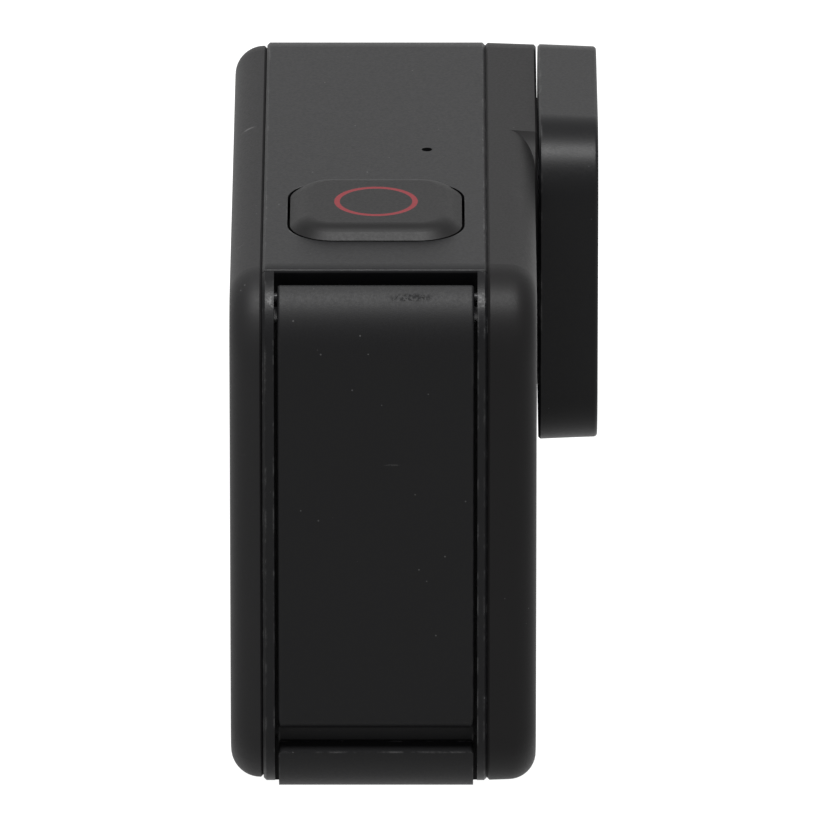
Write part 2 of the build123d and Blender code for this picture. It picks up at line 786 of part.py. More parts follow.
# Removable lens cover: square frame, window, seal and bayonet lugs
with BuildPart() as lens_cover_frame:
    with BuildSketch(at_y(cover_rear_y)):
        lens_square(cover_size)
    extrude(amount=cover_rear_y - cover_front_y, taper=cover_draft)
    fillet(lens_cover_frame.faces().sort_by(Axis.Y)[0].outer_wire().edges(), cover_edge_r)
    chamfer(lens_cover_frame.faces().sort_by(Axis.Y)[-1].outer_wire().edges(), cover_groove)
    with BuildSketch(at_y(cover_rear_y)):
        lens_circle(cover_bore_r)
    extrude(amount=cover_rear_y - cover_plate_y, mode=Mode.SUBTRACT)
    with BuildSketch(at_y(cover_plate_y)):
        lens_circle(window_r)
    extrude(amount=cover_plate_t, mode=Mode.SUBTRACT)
    with BuildSketch(at_y(cover_front_y + glass_t + glass_sink)):
        lens_circle(glass_r)
    extrude(amount=glass_t + glass_sink, mode=Mode.SUBTRACT)
    with BuildSketch(at_y(ring_front_y + lug_inset + 2 * lug_t + lug_gap)):
        lens_lugs(cover_bore_r - lug_h, cover_bore_r + 0.3)
    extrude(amount=lug_t)

with BuildPart() as lens_cover_glass:
    with BuildSketch(at_y(cover_front_y + glass_sink + glass_t)):
        lens_circle(glass_r)
    extrude(amount=glass_t)

with BuildPart() as lens_cover_seal:
    with BuildSketch(at_y(cover_plate_y + cover_seal_t)):
        lens_circle(bay_r - 0.2)
        lens_circle(window_r + 0.3, mode=Mode.SUBTRACT)
    extrude(amount=cover_seal_t)

# Lens barrel, elements and image sensor
with BuildPart() as lens_barrel:
    with BuildSketch(at_y(barrel_flange_y)):
        lens_circle(barrel_flange_r)
        outline(wall, mode=Mode.INTERSECT)
    extrude(amount=-board_t)
    with BuildSketch(at_y(barrel_flange_y)):
        lens_circle(barrel_r)
    extrude(amount=barrel_flange_y - barrel_front_y)
    with BuildSketch(at_y(barrel_flange_y)):
        lens_circle(barrel_tail_r)
    extrude(amount=barrel_flange_y - barrel_tail_y)
    with BuildSketch(at_y(barrel_front_y)):
        lens_circle(front_element_r + funnel_w)
    extrude(amount=-funnel_depth, taper=funnel_angle, mode=Mode.SUBTRACT)
    with BuildSketch(at_y(barrel_front_y)):
        lens_circle(front_element_r)
    extrude(amount=-front_element_t - element_sink, mode=Mode.SUBTRACT)
    with BuildSketch(at_y(barrel_front_y)):
        lens_circle(rear_element_r)
    extrude(amount=barrel_front_y - barrel_tail_y + sensor_recess, mode=Mode.SUBTRACT)
    with BuildSketch(at_y(barrel_tail_y)):
        with Locations((lens_x, lens_z)):
            Rectangle(sensor_w, sensor_w)
    extrude(amount=sensor_recess, mode=Mode.SUBTRACT)

with BuildPart() as lens_front_element:
    with BuildSketch(at_y(barrel_front_y + front_element_t + element_sink)):
        lens_circle(front_element_r)
    extrude(amount=front_element_t)
    fillet(lens_front_element.faces().sort_by(Axis.Y)[0].edges(), front_element_dome_r)

with BuildPart() as lens_rear_element:
    with BuildSketch(at_y(barrel_flange_y + rear_element_t / 2)):
        lens_circle(rear_element_r)
    extrude(amount=-rear_element_t)

with BuildPart() as image_sensor:
    with BuildSketch(at_y(barrel_tail_y)):
        with Locations((lens_x, lens_z)):
            Rectangle(sensor_w, sensor_w)
    extrude(amount=sensor_t)

with BuildPart() as sensor_board:
    with BuildSketch(at_y(barrel_tail_y + board_t)):
        with Locations((lens_x, lens_z)):
            RectangleRounded(sensor_board_w, sensor_board_w, 1.0)
    extrude(amount=board_t)

# Battery, its bay and contacts
with BuildPart() as battery:
    with BuildSketch(Plane.YZ.offset(battery_end_x)):
        with Locations((battery_y, battery_z)):
            RectangleRounded(battery_d, battery_h, battery_corner_r)
    extrude(amount=battery_w)

with BuildPart() as battery_pull_tab:
    with BuildSketch(Plane.YZ.offset(battery_end_x)):
        with Locations((battery_y, battery_z)):
            RectangleRounded(tab_w, tab_h, 1.5)
    extrude(amount=-tab_t)

with BuildPart() as battery_bay:
    with BuildSketch(Plane.YZ.offset(bay_start_x)):
        with Locations((battery_y, battery_z)):
            RectangleRounded(battery_d + 2 * (bay_clear + bay_wall),
                             battery_h + 2 * (bay_clear + bay_wall), 1.0)
    extrude(amount=bay_end_x - bay_start_x)
    with BuildSketch(Plane.YZ.offset(bay_start_x)):
        with Locations((battery_y, battery_z)):
            RectangleRounded(battery_d + 2 * bay_clear, battery_h + 2 * bay_clear, 1.0)
    extrude(amount=bay_end_x - bay_wall - bay_start_x, mode=Mode.SUBTRACT)
    with BuildSketch(Plane.XY.offset(bay_top_z)):
        with Locations((button_x, battery_y)):
            Rectangle(2 * switch_w, battery_d)
    extrude(amount=switch_z - bay_top_z)

with BuildPart() as battery_contacts:
    with BuildSketch(Plane.YZ.offset(bay_end_x - bay_wall)):
        with Locations((battery_y, low_contact_z)):
            with GridLocations(contact_pitch, 1, 3, 1):
                Rectangle(contact_w, contact_h)
    extrude(amount=-contact_t)

# Main board with its shield and heat spreader
with BuildPart() as main_board:
    with BuildSketch(at_y(board_y)):
        with Locations(((board_left_x + board_right_x) / 2, (board_low_z + board_top_z) / 2)):
            RectangleRounded(board_right_x - board_left_x, board_top_z - board_low_z, 2.0)
    extrude(amount=board_t)

with BuildPart() as processor_shield:
    with BuildSketch(at_y(board_y - board_t)):
        with Locations((front_screen_x, front_glass_z)):
            RectangleRounded(shield_w, shield_w, 1.0)
    extrude(amount=board_y - board_t - spreader_rear_y)

with BuildPart() as heat_spreader:
    with BuildSketch(at_y(spreader_rear_y)):
        with Locations((front_screen_x, front_glass_z)):
            RectangleRounded(front_glass_w - 2, front_glass_h + 4, 2.0)
    extrude(amount=spreader_rear_y - spreader_front_y)

# Memory card in its slot, and the data port
with BuildPart() as card_slot:
    with BuildSketch(at_y(board_y)):
        with Locations((card_slot_x, card_z)):
            Rectangle(card_slot_w, card_slot_h)
    extrude(amount=-card_slot_d)
    with BuildSketch(Plane.YZ.offset(body_left)):
        with Locations((board_y + card_slot_d / 2, card_z)):
            Rectangle(card_t, card_h)
    extrude(amount=card_end_x - body_left, mode=Mode.SUBTRACT)

with BuildPart() as memory_card:
    with BuildSketch(at_y(board_y + card_slot_d / 2 + card_t / 2)):
        with Locations((card_end_x - card_w / 2, card_z)):
            RectangleRounded(card_w, card_h, 0.8)
    extrude(amount=card_t)

with BuildPart() as data_port:
    with BuildSketch(Plane.YZ.offset(battery_end_x)):
        with Locations((door_y, usb_z)):
            RectangleRounded(usb_w, usb_h, usb_h / 2 - 0.01)
    extrude(amount=usb_len)
    with BuildSketch(Plane.YZ.offset(battery_end_x)):
        with Locations((door_y, usb_z)):
            RectangleRounded(usb_w - 2 * usb_wall, usb_h - 2 * usb_wall,
                             usb_h / 2 - usb_wall - 0.01)
    extrude(amount=usb_len - 1, mode=Mode.SUBTRACT)
    with BuildSketch(Plane.YZ.offset(battery_end_x + 0.5)):
        with Locations((door_y, usb_z)):
            Rectangle(usb_w - 2 * usb_h + 1, usb_tongue_t)
    extrude(amount=usb_len - 1)

# Folding finger bracket, pins, screws and the two fingers
with BuildPart() as finger_bracket:
    with BuildSketch(Plane.XY.offset(recess_depth)):
        with Locations((body_x, finger_y)):
            Rectangle(2 * bracket_half_w - 2 * run_fit, recess_d - 2 * run_fit)
    extrude(amount=bracket_t)
    for ear_y in (finger_y + ear_out_y, finger_y - ear_out_y + ear_t):
        with BuildSketch(at_y(ear_y)):
            with Locations((body_x - finger_offset, finger_z), (body_x + finger_offset, finger_z)):
                Circle(ear_r)
                with Locations((0, (recess_depth - finger_z) / 2)):
                    Rectangle(2 * ear_r, recess_depth - finger_z)
        extrude(amount=ear_t)
    with BuildSketch(at_y(finger_y + ear_out_y)):
        with Locations((body_x - finger_offset, finger_z), (body_x + finger_offset, finger_z)):
            Circle(finger_pin_r)
    extrude(amount=2 * ear_out_y, mode=Mode.SUBTRACT)
    with BuildSketch(Plane.XY.offset(recess_depth)):
        with Locations((body_x, finger_y)):
            with GridLocations(1, screw_pitch, 1, 2):
                Circle(screw_head_r)
    extrude(amount=screw_head_t, mode=Mode.SUBTRACT)
    with BuildSketch(Plane.XY.offset(recess_depth)):
        with Locations((body_x, finger_y)):
            with GridLocations(1, screw_pitch, 1, 2):
                Circle(screw_r)
    extrude(amount=bracket_t, mode=Mode.SUBTRACT)

with BuildPart() as finger_pins:
    with BuildSketch(at_y(finger_y + ear_out_y)):
        with Locations((body_x - finger_offset, finger_z), (body_x + finger_offset, finger_z)):
            Circle(finger_pin_r)
    extrude(amount=2 * ear_out_y)

with BuildPart() as bracket_screws:
    with BuildSketch(Plane.XY.offset(recess_depth)):
        with Locations((body_x, finger_y)):
            with GridLocations(1, screw_pitch, 1, 2):
                Circle(screw_head_r)
    extrude(amount=screw_head_t)
    with BuildSketch(Plane.XY.offset(recess_depth)):
        with Locations((body_x, finger_y)):
            with GridLocations(1, screw_pitch, 1, 2):
                Circle(screw_r)
    extrude(amount=tub_top_z - recess_depth - screw_point_gap)
    with BuildSketch(Plane.XY.offset(recess_depth)):
        with Locations((body_x, finger_y)):
            with GridLocations(1, screw_pitch, 1, 2):
                RectangleRounded(screw_slot_w, screw_slot_t, screw_slot_t / 3)
                RectangleRounded(screw_slot_t, screw_slot_w, screw_slot_t / 3)
    extrude(amount=screw_head_t / 2, mode=Mode.SUBTRACT)

with BuildPart() as finger_right:
    with BuildSketch(at_y(finger_y + knuckle_half_w)):
        with Locations((body_x + finger_offset, finger_z)):
            Circle(finger_t / 2)
        with Locations((body_x + finger_offset + finger_neck / 2, finger_z)):
            Rectangle(finger_neck, finger_t)
    extrude(amount=2 * knuckle_half_w)
    with BuildSketch(Plane.XY.offset(finger_z - finger_t / 2)):
        with Locations((body_x + finger_hole_x, finger_y)):
            Circle(finger_r)
        with Locations((body_x + (finger_offset + finger_neck + finger_hole_x) / 2, finger_y)):
            Rectangle(finger_hole_x - finger_offset - finger_neck, 2 * finger_r)
    extrude(amount=finger_t)
    rim = finger_right.edges().filter_by(GeomType.CIRCLE)
    fillet([e for e in rim if abs(e.radius - finger_r) < 0.01], finger_edge_r)
    with BuildSketch(Plane.XY.offset(finger_z - finger_t / 2)):
        with Locations((body_x + finger_hole_x, finger_y)):
            Circle(finger_bore_r)
    extrude(amount=finger_t, mode=Mode.SUBTRACT)
    with BuildSketch(at_y(finger_y + knuckle_half_w)):
        with Locations((body_x + finger_offset, finger_z)):
            Circle(finger_pin_r + run_fit)
    extrude(amount=2 * knuckle_half_w, mode=Mode.SUBTRACT)

with BuildPart() as finger_left:
    add(finger_right.part.mirror(Plane.YZ.offset(body_x)))

pieces = {
    "chassis": chassis,
    "top_panel": top_panel,
    "front_shell": front_shell,
    "rear_shell": rear_shell,
    "door": door,
    "door_hinge_pin": door_hinge_pin,
    "door_seal": door_seal,
    "door_latch": door_latch,
    "shutter_button": shutter_button,
    "shutter_ring": shutter_ring,
    "shutter_switch": shutter_switch,
    "mode_button": mode_button,
    "mode_carrier": mode_carrier,
    "mode_switch": mode_switch,
    "speaker": speaker,
    "top_microphone": top_microphone,
    "front_microphone": front_microphone,
    "front_glass": front_glass,
    "front_display": front_display,
    "front_status_light": front_status_light,
    "rear_glass": rear_glass,
    "rear_display": rear_display,
    "rear_status_light": rear_status_light,
    "bayonet_ring": bayonet_ring,
    "lens_cover_frame": lens_cover_frame,
    "lens_cover_glass": lens_cover_glass,
    "lens_cover_seal": lens_cover_seal,
    "lens_barrel": lens_barrel,
    "lens_front_element": lens_front_element,
    "lens_rear_element": lens_rear_element,
    "image_sensor": image_sensor,
    "sensor_board": sensor_board,
    "battery": battery,
    "battery_pull_tab": battery_pull_tab,
    "battery_bay": battery_bay,
    "battery_contacts": battery_contacts,
    "main_board": main_board,
    "processor_shield": processor_shield,
    "heat_spreader": heat_spreader,
    "card_slot": card_slot,
    "memory_card": memory_card,
    "data_port": data_port,
    "finger_bracket": finger_bracket,
    "finger_pins": finger_pins,
    "bracket_screws": bracket_screws,
    "finger_left": finger_left,
    "finger_right": finger_right,
}
os.makedirs("parts", exist_ok=True)
for name, piece in pieces.items():
    piece.part.label = name
    export_step(piece.part, f"parts/{name}.step")
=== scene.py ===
"""Looks of a compact action camera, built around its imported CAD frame.

Every sub-assembly is a class with its sizes in metres as fields. It makes the meshes that the
frame lacks, and dresses the frame's own nodes with procedural finishes.
"""
import logging
import math
from dataclasses import dataclass
from enum import Enum
from typing import Any, Iterable, Sequence

import bmesh
import bpy
from mathutils import Matrix, Vector

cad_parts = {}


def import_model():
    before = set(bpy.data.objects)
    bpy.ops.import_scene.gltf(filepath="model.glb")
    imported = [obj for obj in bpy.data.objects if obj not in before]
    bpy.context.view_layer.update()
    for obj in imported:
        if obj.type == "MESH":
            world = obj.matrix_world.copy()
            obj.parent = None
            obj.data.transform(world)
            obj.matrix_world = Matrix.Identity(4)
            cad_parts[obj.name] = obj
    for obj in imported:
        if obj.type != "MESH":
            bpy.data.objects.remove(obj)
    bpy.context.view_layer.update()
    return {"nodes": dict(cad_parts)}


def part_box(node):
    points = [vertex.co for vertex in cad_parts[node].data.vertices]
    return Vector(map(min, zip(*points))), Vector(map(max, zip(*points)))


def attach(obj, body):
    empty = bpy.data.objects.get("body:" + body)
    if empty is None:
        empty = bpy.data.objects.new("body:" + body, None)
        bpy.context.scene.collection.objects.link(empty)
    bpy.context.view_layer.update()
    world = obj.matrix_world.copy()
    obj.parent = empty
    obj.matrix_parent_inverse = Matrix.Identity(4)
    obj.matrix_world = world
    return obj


log = logging.getLogger("action_camera")
Rgb = tuple[float, float, float]
Point = tuple[float, float, float]
MM = 0.001
# Segments in a rolled edge, sides of a woven wire, and how near two points are to be one.
EDGE_STEPS = 4
WIRE_SIDES = 6
WELD = 1e-7
# Half the straight length that a corner always leaves, and the largest smooth angle in degrees.
CORNER_GAP = 1e-6
SMOOTH_ANGLE = 32.0


class Facing(Enum):
    """Which way a flat shape faces: the two axes that it is drawn along, then the way out."""

    FRONT = ((1.0, 0.0, 0.0), (0.0, 0.0, 1.0), (0.0, -1.0, 0.0))
    UP = ((1.0, 0.0, 0.0), (0.0, 1.0, 0.0), (0.0, 0.0, 1.0))
    DOWN = ((1.0, 0.0, 0.0), (0.0, -1.0, 0.0), (0.0, 0.0, -1.0))
    DOOR_SIDE = ((0.0, -1.0, 0.0), (0.0, 0.0, 1.0), (-1.0, 0.0, 0.0))
    MODE_SIDE = ((0.0, 1.0, 0.0), (0.0, 0.0, 1.0), (1.0, 0.0, 0.0))


def in_mm(x: float, y: float, z: float) -> Point:
    """Point in metres, given in millimetres."""
    return (x * MM, y * MM, z * MM)


@dataclass(frozen=True)
class Mark:
    """A small worn place on a finish, fading out towards its rim.

    Attributes:
        centre: Middle of the mark, in metres.
        reach: Half its size along X, Y and Z, in metres.
        lighter: Brightness that it adds.
        duller: Roughness that it adds.
        broken: How far noise breaks the mark up, from 0 to 1.
    """

    centre: Point
    reach: Point
    lighter: float = 0.0
    duller: float = 0.0
    broken: float = 0.5


class NodeGraph:
    """A material's node tree with short ways to add and join nodes."""

    def __init__(self, name: str) -> None:
        """Start an empty material with a principled shader and its output.

        Args:
            name: Name of the material.
        """
        self.material = bpy.data.materials.new(name)
        self.material.use_nodes = True
        self.tree = self.material.node_tree
        self.tree.nodes.clear()
        self.output = self.add("ShaderNodeOutputMaterial")
        self.shader = self.add("ShaderNodeBsdfPrincipled")
        self.join(self.shader.outputs["BSDF"], self.output.inputs["Surface"])
        self.coords = self.add("ShaderNodeTexCoord")

    def add(self, kind: str, **settings: Any) -> bpy.types.Node:
        """Add a node of a kind and set its properties.

        Args:
            kind: Blender's type name of the node.
            **settings: Properties of the node by name.

        Returns:
            The new node.
        """
        node = self.tree.nodes.new(kind)
        for key, value in settings.items():
            setattr(node, key, value)
        return node

    def join(self, source: bpy.types.NodeSocket, target: bpy.types.NodeSocket) -> None:
        """Link an output socket to an input socket."""
        self.tree.links.new(source, target)

    def put(self, **values: Any) -> None:
        """Set the principled shader's sockets; a name's underscores stand for spaces."""
        for key, value in values.items():
            self.shader.inputs[key.replace("_", " ")].default_value = value

    def scaled(self, stretch: Point = (1.0, 1.0, 1.0)) -> bpy.types.NodeSocket:
        """Object coordinates in millimetres, stretched along each axis.

        Args:
            stretch: Extra factor along X, Y and Z.

        Returns:
            The vector socket.
        """
        mapping = self.add("ShaderNodeMapping")
        mapping.inputs["Scale"].default_value = tuple(s / MM for s in stretch)
        self.join(self.coords.outputs["Object"], mapping.inputs["Vector"])
        return mapping.outputs["Vector"]

    def noise(self, per_mm: float, detail: float = 3.0, rough: float = 0.55,
              stretch: Point = (1.0, 1.0, 1.0)) -> bpy.types.NodeSocket:
        """Fractal noise with a grain size.

        Args:
            per_mm: How many features lie in a millimetre.
            detail: Octaves.
            rough: Weight of the finer octaves.
            stretch: Extra factor along X, Y and Z.

        Returns:
            The factor socket.
        """
        noise = self.add("ShaderNodeTexNoise")
        noise.inputs["Scale"].default_value = per_mm
        noise.inputs["Detail"].default_value = detail
        noise.inputs["Roughness"].default_value = rough
        self.join(self.scaled(stretch), noise.inputs["Vector"])
        return noise.outputs["Fac"]

    def ramp(self, source: bpy.types.NodeSocket, low: float, high: float,
             out_low: float = 0.0, out_high: float = 1.0) -> bpy.types.NodeSocket:
        """Map a range of one value smoothly onto another range.

        Args:
            source: Socket with the value.
            low: Value that gives out_low.
            high: Value that gives out_high.
            out_low: Result at low.
            out_high: Result at high.

        Returns:
            The result socket.
        """
        node = self.add("ShaderNodeMapRange", interpolation_type="SMOOTHSTEP")
        node.inputs["From Min"].default_value = low
        node.inputs["From Max"].default_value = high
        node.inputs["To Min"].default_value = out_low
        node.inputs["To Max"].default_value = out_high
        self.join(source, node.inputs["Value"])
        return node.outputs["Result"]

    def math(self, kind: str, first: bpy.types.NodeSocket,
             second: bpy.types.NodeSocket | float) -> bpy.types.NodeSocket:
        """Do arithmetic on two values.

        Args:
            kind: Blender's operation name.
            first: First socket.
            second: Second socket or number.

        Returns:
            The result socket.
        """
        node = self.add("ShaderNodeMath", operation=kind)
        self.join(first, node.inputs[0])
        if isinstance(second, (int, float)):
            node.inputs[1].default_value = second
        else:
            self.join(second, node.inputs[1])
        return node.outputs["Value"]

    def mix(self, factor: bpy.types.NodeSocket, low: bpy.types.NodeSocket | Rgb,
            high: Rgb) -> bpy.types.NodeSocket:
        """Mix two colours by a factor.

        Args:
            factor: Socket with the share of the second colour.
            low: First colour or a socket with it.
            high: Second colour.

        Returns:
            The colour socket.
        """
        # The colour sockets are the third pair of the node's inputs.
        node = self.add("ShaderNodeMix", data_type="RGBA")
        self.join(factor, node.inputs["Factor"])
        if isinstance(low, tuple):
            node.inputs[6].default_value = (*low, 1.0)
        else:
            self.join(low, node.inputs[6])
        node.inputs[7].default_value = (*high, 1.0)
        return node.outputs[2]

    def dust(self, per_mm: float, size: float) -> bpy.types.NodeSocket:
        """Sparse round specks.

        Args:
            per_mm: How many cells lie in a millimetre; few of them hold a speck.
            size: Radius of a speck as a share of a cell.

        Returns:
            The factor socket.
        """
        cells = self.add("ShaderNodeTexVoronoi", feature="F1")
        cells.inputs["Scale"].default_value = per_mm
        self.join(self.scaled(), cells.inputs["Vector"])
        return self.ramp(cells.outputs["Distance"], size, size * 0.5)

    def patch(self, mark: Mark) -> bpy.types.NodeSocket:
        """Mask of one mark: 1 in its middle and 0 outside it.

        Args:
            mark: The mark.

        Returns:
            The factor socket.
        """
        mapping = self.add("ShaderNodeMapping")
        mapping.inputs["Scale"].default_value = tuple(1.0 / r for r in mark.reach)
        mapping.inputs["Location"].default_value = tuple(
            -c / r for c, r in zip(mark.centre, mark.reach))
        self.join(self.coords.outputs["Object"], mapping.inputs["Vector"])
        length = self.add("ShaderNodeVectorMath", operation="LENGTH")
        self.join(mapping.outputs["Vector"], length.inputs[0])
        inside = self.ramp(length.outputs["Value"], 1.0, 0.45)
        grains = self.ramp(self.noise(3.2, 4.0, 0.7), 0.30 + 0.20 * mark.broken,
                           0.50 + 0.16 * mark.broken)
        return self.math("MULTIPLY", inside, grains)

    def bump(self, heights: Sequence[tuple[bpy.types.NodeSocket, float]]) -> None:
        """Chain bump nodes into the shader's normal.

        Args:
            heights: Pairs of height socket and depth in metres.
        """
        previous = None
        for height, depth in heights:
            node = self.add("ShaderNodeBump")
            node.inputs["Strength"].default_value = 1.0
            node.inputs["Distance"].default_value = depth
            self.join(height, node.inputs["Height"])
            if previous is not None:
                self.join(previous, node.inputs["Normal"])
            previous = node.outputs["Normal"]
        if previous is not None:
            self.join(previous, self.shader.inputs["Normal"])


def worn_places(g: NodeGraph, marks: Sequence[Mark], base: Rgb, colour: bpy.types.NodeSocket,
                rough: bpy.types.NodeSocket) -> tuple[bpy.types.NodeSocket, bpy.types.NodeSocket]:
    """Lay a finish's marks over its colour and roughness.

    Args:
        g: The finish's node graph.
        marks: The worn places.
        base: The finish's own colour.
        colour: Socket with the colour so far.
        rough: Socket with the roughness so far.

    Returns:
        Sockets with the new colour and the new roughness.
    """
    for mark in marks:
        mask = g.patch(mark)
        if mark.lighter:
            colour = g.mix(mask, colour, tuple(c + mark.lighter for c in base))
        if mark.duller:
            rough = g.math("ADD", g.math("MULTIPLY", mask, mark.duller), rough)
    return colour, rough


@dataclass(frozen=True)
class MouldedPlastic:
    """Hard dark plastic with a fine moulded grain, faint specks and worn edges.

    Attributes:
        name: Name of the material.
        colour: Base colour.
        roughness: Middle of the roughness range.
        ior: Index of refraction, which sets the gloss.
        grain: Depth of the moulded grain in metres.
        grain_per_mm: Fineness of the grain.
        specks: Brightness that the light specks add.
        wear: Brightness that worn edges add.
        edge_r: Radius of the edges that wear shows on.
        marks: Worn places.
    """

    name: str
    colour: Rgb
    roughness: float = 0.45
    ior: float = 1.3
    grain: float = 0.006 * MM
    grain_per_mm: float = 9.0
    specks: float = 0.08
    wear: float = 0.05
    edge_r: float = 0.28 * MM
    marks: tuple[Mark, ...] = ()

    def build(self) -> bpy.types.Material:
        """Make the material.

        Returns:
            The material.
        """
        g = NodeGraph(self.name)
        g.put(Metallic=0.0, IOR=self.ior)
        cloud = g.noise(0.12, 4.0, 0.6)
        fine = g.noise(self.grain_per_mm, 2.0, 0.5)
        speck = g.dust(0.5, 0.05)
        tint = tuple(c * 1.05 for c in self.colour)
        colour = g.mix(g.ramp(cloud, 0.35, 0.70), self.colour, tint)
        light = tuple(c + self.specks for c in self.colour)
        colour = g.mix(speck, colour, light)
        if self.wear > 0.0:
            bevel = g.add("ShaderNodeBevel", samples=4)
            bevel.inputs["Radius"].default_value = self.edge_r
            geometry = g.add("ShaderNodeNewGeometry")
            dot = g.add("ShaderNodeVectorMath", operation="DOT_PRODUCT")
            g.join(bevel.outputs["Normal"], dot.inputs[0])
            g.join(geometry.outputs["Normal"], dot.inputs[1])
            edge = g.ramp(dot.outputs["Value"], 0.985, 0.90)
            patchy = g.ramp(g.noise(0.45, 4.0, 0.65), 0.48, 0.66)
            worn = g.math("MULTIPLY", edge, patchy)
            colour = g.mix(worn, colour, tuple(c + self.wear for c in self.colour))
        rough = g.ramp(g.noise(3.5, 4.0, 0.6), 0.3, 0.75,
                       self.roughness - 0.03, self.roughness + 0.04)
        colour, rough = worn_places(g, self.marks, self.colour, colour, rough)
        g.join(colour, g.shader.inputs["Base Color"])
        g.join(rough, g.shader.inputs["Roughness"])
        g.bump([(fine, self.grain), (g.noise(3.5, 2.0, 0.5), self.grain * 0.6)])
        return g.material


@dataclass(frozen=True)
class SoftTouch:
    """Soft-touch rubberised shell with a velvety sheen and faint scuffs.

    Attributes:
        name: Name of the material.
        colour: Base colour.
        roughness: Middle of the roughness range.
        ior: Index of refraction.
        sheen: Weight of the sheen.
        scuffs: Brightness that the faint scuffs add.
        specks: Brightness that the light specks add.
        grain: Depth of the moulded grain in metres.
        marks: Worn places.
    """

    name: str
    colour: Rgb
    roughness: float = 0.6
    ior: float = 1.28
    sheen: float = 0.01
    scuffs: float = 0.006
    specks: float = 0.05
    grain: float = 0.005 * MM
    marks: tuple[Mark, ...] = ()

    def build(self) -> bpy.types.Material:
        """Make the material.

        Returns:
            The material.
        """
        g = NodeGraph(self.name)
        g.put(Metallic=0.0, IOR=self.ior, Sheen_Weight=self.sheen, Sheen_Roughness=0.45)
        cloud = g.ramp(g.noise(0.18, 4.0, 0.6), 0.35, 0.72)
        colour = g.mix(cloud, self.colour, tuple(c * 1.06 for c in self.colour))
        scuff = g.ramp(g.noise(0.30, 6.0, 0.7, (1.0, 0.25, 2.6)), 0.66, 0.74)
        colour = g.mix(scuff, colour, tuple(c + self.scuffs for c in self.colour))
        colour = g.mix(g.dust(0.45, 0.04), colour, tuple(c + self.specks for c in self.colour))
        rough = g.ramp(g.noise(4.0, 4.0, 0.65), 0.3, 0.75,
                       self.roughness - 0.03, self.roughness + 0.04)
        colour, rough = worn_places(g, self.marks, self.colour, colour, rough)
        g.join(colour, g.shader.inputs["Base Color"])
        g.join(rough, g.shader.inputs["Roughness"])
        g.bump([(g.noise(12.0, 2.0, 0.5), self.grain),
                (g.noise(4.5, 2.0, 0.5), self.grain * 0.8)])
        return g.material


@dataclass(frozen=True)
class Metal:
    """Brushed, blasted or anodised metal.

    Attributes:
        name: Name of the material.
        colour: Base colour.
        roughness: Middle of the roughness range.
        metallic: Metallic share of the surface.
        brushed: Stretch of the grain along X, Y and Z.
        grain: Depth of the grain in metres.
    """

    name: str
    colour: Rgb
    roughness: float = 0.35
    metallic: float = 1.0
    brushed: Point = (1.0, 1.0, 1.0)
    grain: float = 0.003 * MM

    def build(self) -> bpy.types.Material:
        """Make the material.

        Returns:
            The material.
        """
        g = NodeGraph(self.name)
        g.put(Metallic=self.metallic)
        grain = g.noise(4.0, 3.0, 0.6, self.brushed)
        colour = g.mix(g.ramp(g.noise(0.5, 4.0), 0.35, 0.7), self.colour,
                       tuple(min(1.0, c * 1.25) for c in self.colour))
        g.join(colour, g.shader.inputs["Base Color"])
        rough = g.ramp(grain, 0.3, 0.7, self.roughness - 0.06, self.roughness + 0.1)
        g.join(rough, g.shader.inputs["Roughness"])
        g.bump([(grain, self.grain)])
        return g.material


@dataclass(frozen=True)
class CoatedGlass:
    """Glass over a screen or lens: black and glossy, or clear with a coating tint.

    Attributes:
        name: Name of the material.
        colour: Base colour.
        clear: Transmission weight.
        ior: Index of refraction.
        smudges: Roughness that the faint smudges add.
        ripple: Depth of the surface's slow ripple in metres.
    """

    name: str
    colour: Rgb
    clear: float = 0.0
    ior: float = 1.45
    smudges: float = 0.10
    ripple: float = 0.002 * MM

    def build(self) -> bpy.types.Material:
        """Make the material.

        Returns:
            The material.
        """
        g = NodeGraph(self.name)
        g.put(Metallic=0.0, IOR=self.ior, Transmission_Weight=self.clear)
        haze = g.ramp(g.noise(0.10, 5.0, 0.65), 0.45, 0.75)
        colour = g.mix(haze, self.colour, tuple(min(1.0, c * 1.25 + 0.0005) for c in self.colour))
        g.join(colour, g.shader.inputs["Base Color"])
        wipe = g.noise(0.22, 5.0, 0.6, (1.0, 1.0, 0.35))
        g.join(g.ramp(wipe, 0.45, 0.8, 0.03, 0.03 + self.smudges), g.shader.inputs["Roughness"])
        g.bump([(g.noise(0.08, 1.0), self.ripple)])
        return g.material


